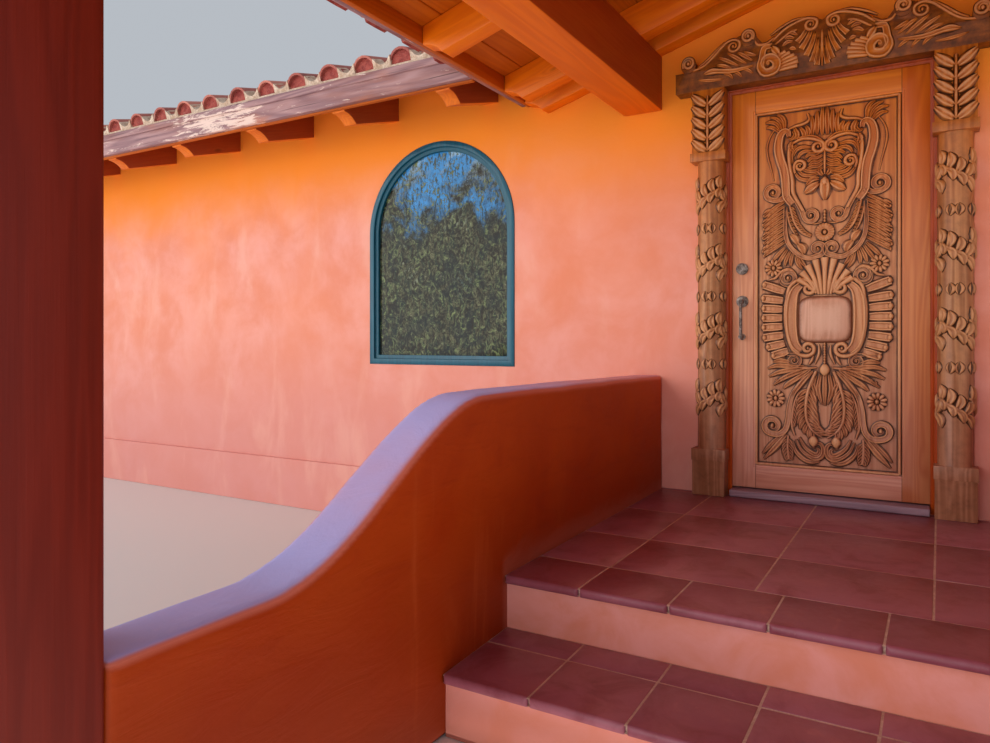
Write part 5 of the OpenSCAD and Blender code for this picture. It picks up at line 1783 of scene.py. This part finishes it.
class HouseRoof(bpy.types.PropertyGroup):
    """Barrel tiles"""
    tile_r: FloatProperty(name="Tile radius", description="Outer radius of a tile's wide end",
                          default=0.087, unit="LENGTH")
    tile_l: FloatProperty(name="Tile length", description="Length of a tile", default=0.385,
                          unit="LENGTH")
    tile_shell: FloatProperty(name="Thickness", description="Thickness of a tile", default=0.013,
                              unit="LENGTH")
    tile_step: FloatProperty(name="Column step", description="Distance between columns of tiles",
                             default=0.2735, unit="LENGTH")
    course: FloatProperty(name="Course", description="Distance between courses", default=0.312,
                          unit="LENGTH")
    first_tile: FloatProperty(name="First column", default=0.251, unit="LENGTH",
                              description="Distance of the first column from the door's axis")
    seed: IntProperty(name="Seed", description="Draw of the tiles' tones and places", default=21,
                      min=1)


class HouseDoor(bpy.types.PropertyGroup):
    """Carved door, columns and header"""
    carving_depth: FloatProperty(name="Carving", description="Height of the carving",
                                 default=0.022, min=0.005, unit="LENGTH")
    seed: IntProperty(name="Seed", description="Draw of the grain", default=31)


class HouseStage(bpy.types.PropertyGroup):
    """Floor and light"""
    floor_color: FloatVectorProperty(name="Floor", description="Colour of the stage floor",
                                     default=(0.78, 0.77, 0.75), subtype="COLOR")
    sun: FloatProperty(name="Key light", description="Strength of the soft key light",
                       default=1.35)
    sun_size: FloatProperty(name="Softness", default=45,
                            description="Angle that the key light fills, in degrees")
    around: FloatProperty(name="Light all round", default=0.55,
                          description="Strength of the light from all round")
    fill: FloatProperty(name="Front fill", description="Power of the wide soft light in front",
                        default=175, unit="POWER")
    glow: FloatProperty(name="Floor glow", default=350, unit="POWER",
                        description="Power of the light that the floor throws up")


class HOUSE_OT_walls(bpy.types.Operator):
    """Stucco walls, floor and the plastered low walls"""
    bl_idname = "house.walls"
    bl_label = "Walls"

    def execute(self, context):
        make_walls(context.scene.house_plaster)
        return {"FINISHED"}


class HOUSE_OT_paving(bpy.types.Operator):
    """Paving tiles of the landing and the step, with their grout"""
    bl_idname = "house.paving"
    bl_label = "Paving"

    def execute(self, context):
        make_paving(context.scene.house_plaster)
        return {"FINISHED"}


class HOUSE_OT_timbers(bpy.types.Operator):
    """Rafters, beams, posts and fascias with worn edges"""
    bl_idname = "house.timbers"
    bl_label = "Timbers"

    def execute(self, context):
        make_timbers(context.scene.house_timber)
        return {"FINISHED"}


class HOUSE_OT_boards(bpy.types.Operator):
    """Separate roof boards for the decks"""
    bl_idname = "house.boards"
    bl_label = "Roof boards"

    def execute(self, context):
        make_boards(context.scene.house_timber)
        return {"FINISHED"}


class HOUSE_OT_roof(bpy.types.Operator):
    """Barrel tiles, mortar and ridges"""
    bl_idname = "house.roof"
    bl_label = "Roof tiles"

    def execute(self, context):
        make_roof(context.scene.house_roof)
        return {"FINISHED"}


class HOUSE_OT_windows(bpy.types.Operator):
    """Painted window frames and their glass"""
    bl_idname = "house.windows"
    bl_label = "Windows"

    def execute(self, context):
        make_windows()
        return {"FINISHED"}


class HOUSE_OT_door(bpy.types.Operator):
    """Door, its frame, columns and header"""
    bl_idname = "house.door"
    bl_label = "Door"

    def execute(self, context):
        make_door(context.scene.house_door)
        return {"FINISHED"}


class HOUSE_OT_stage(bpy.types.Operator):
    """Floor, light and camera"""
    bl_idname = "house.stage"
    bl_label = "Stage"

    def execute(self, context):
        make_camera()
        make_stage(context.scene.house_stage)
        return {"FINISHED"}


STEPS = (HOUSE_OT_walls, HOUSE_OT_paving, HOUSE_OT_timbers, HOUSE_OT_boards, HOUSE_OT_roof,
         HOUSE_OT_windows, HOUSE_OT_door, HOUSE_OT_stage)


class HOUSE_PT_panel(bpy.types.Panel):
    """Sizes and colours of the house, and a button for each step"""
    bl_idname = "HOUSE_PT_panel"
    bl_label = "House"
    bl_space_type = "VIEW_3D"
    bl_region_type = "UI"
    bl_category = "House"

    def draw(self, context):
        for group, name in GROUPS.items():
            box = self.layout.box()
            box.label(text=group.__doc__)
            for setting in group.__annotations__:
                box.prop(getattr(context.scene, name), setting)
        for step in STEPS:
            self.layout.operator(step.bl_idname)


GROUPS = {HousePlaster: "house_plaster", HouseTimber: "house_timber", HouseRoof: "house_roof",
          HouseDoor: "house_door", HouseStage: "house_stage"}


def register():
    for group, name in GROUPS.items():
        bpy.utils.register_class(group)
        setattr(bpy.types.Scene, name, PointerProperty(type=group))
    for made in STEPS + (HOUSE_PT_panel,):
        bpy.utils.register_class(made)


def unregister():
    for made in (HOUSE_PT_panel,) + STEPS[::-1]:
        bpy.utils.unregister_class(made)
    for group, name in GROUPS.items():
        delattr(bpy.types.Scene, name)
        bpy.utils.unregister_class(group)


def main():
    """Makes every piece and the stage."""
    register()
    bpy.ops.object.select_all(action="DESELECT")
    FINISHES.update(make_finishes())
    bpy.ops.house.walls()
    bpy.ops.house.paving()
    bpy.ops.house.timbers()
    bpy.ops.house.boards()
    bpy.ops.house.roof()
    bpy.ops.house.windows()
    bpy.ops.house.door()
    bpy.ops.house.stage()


if __name__ == "__main__":
    main()
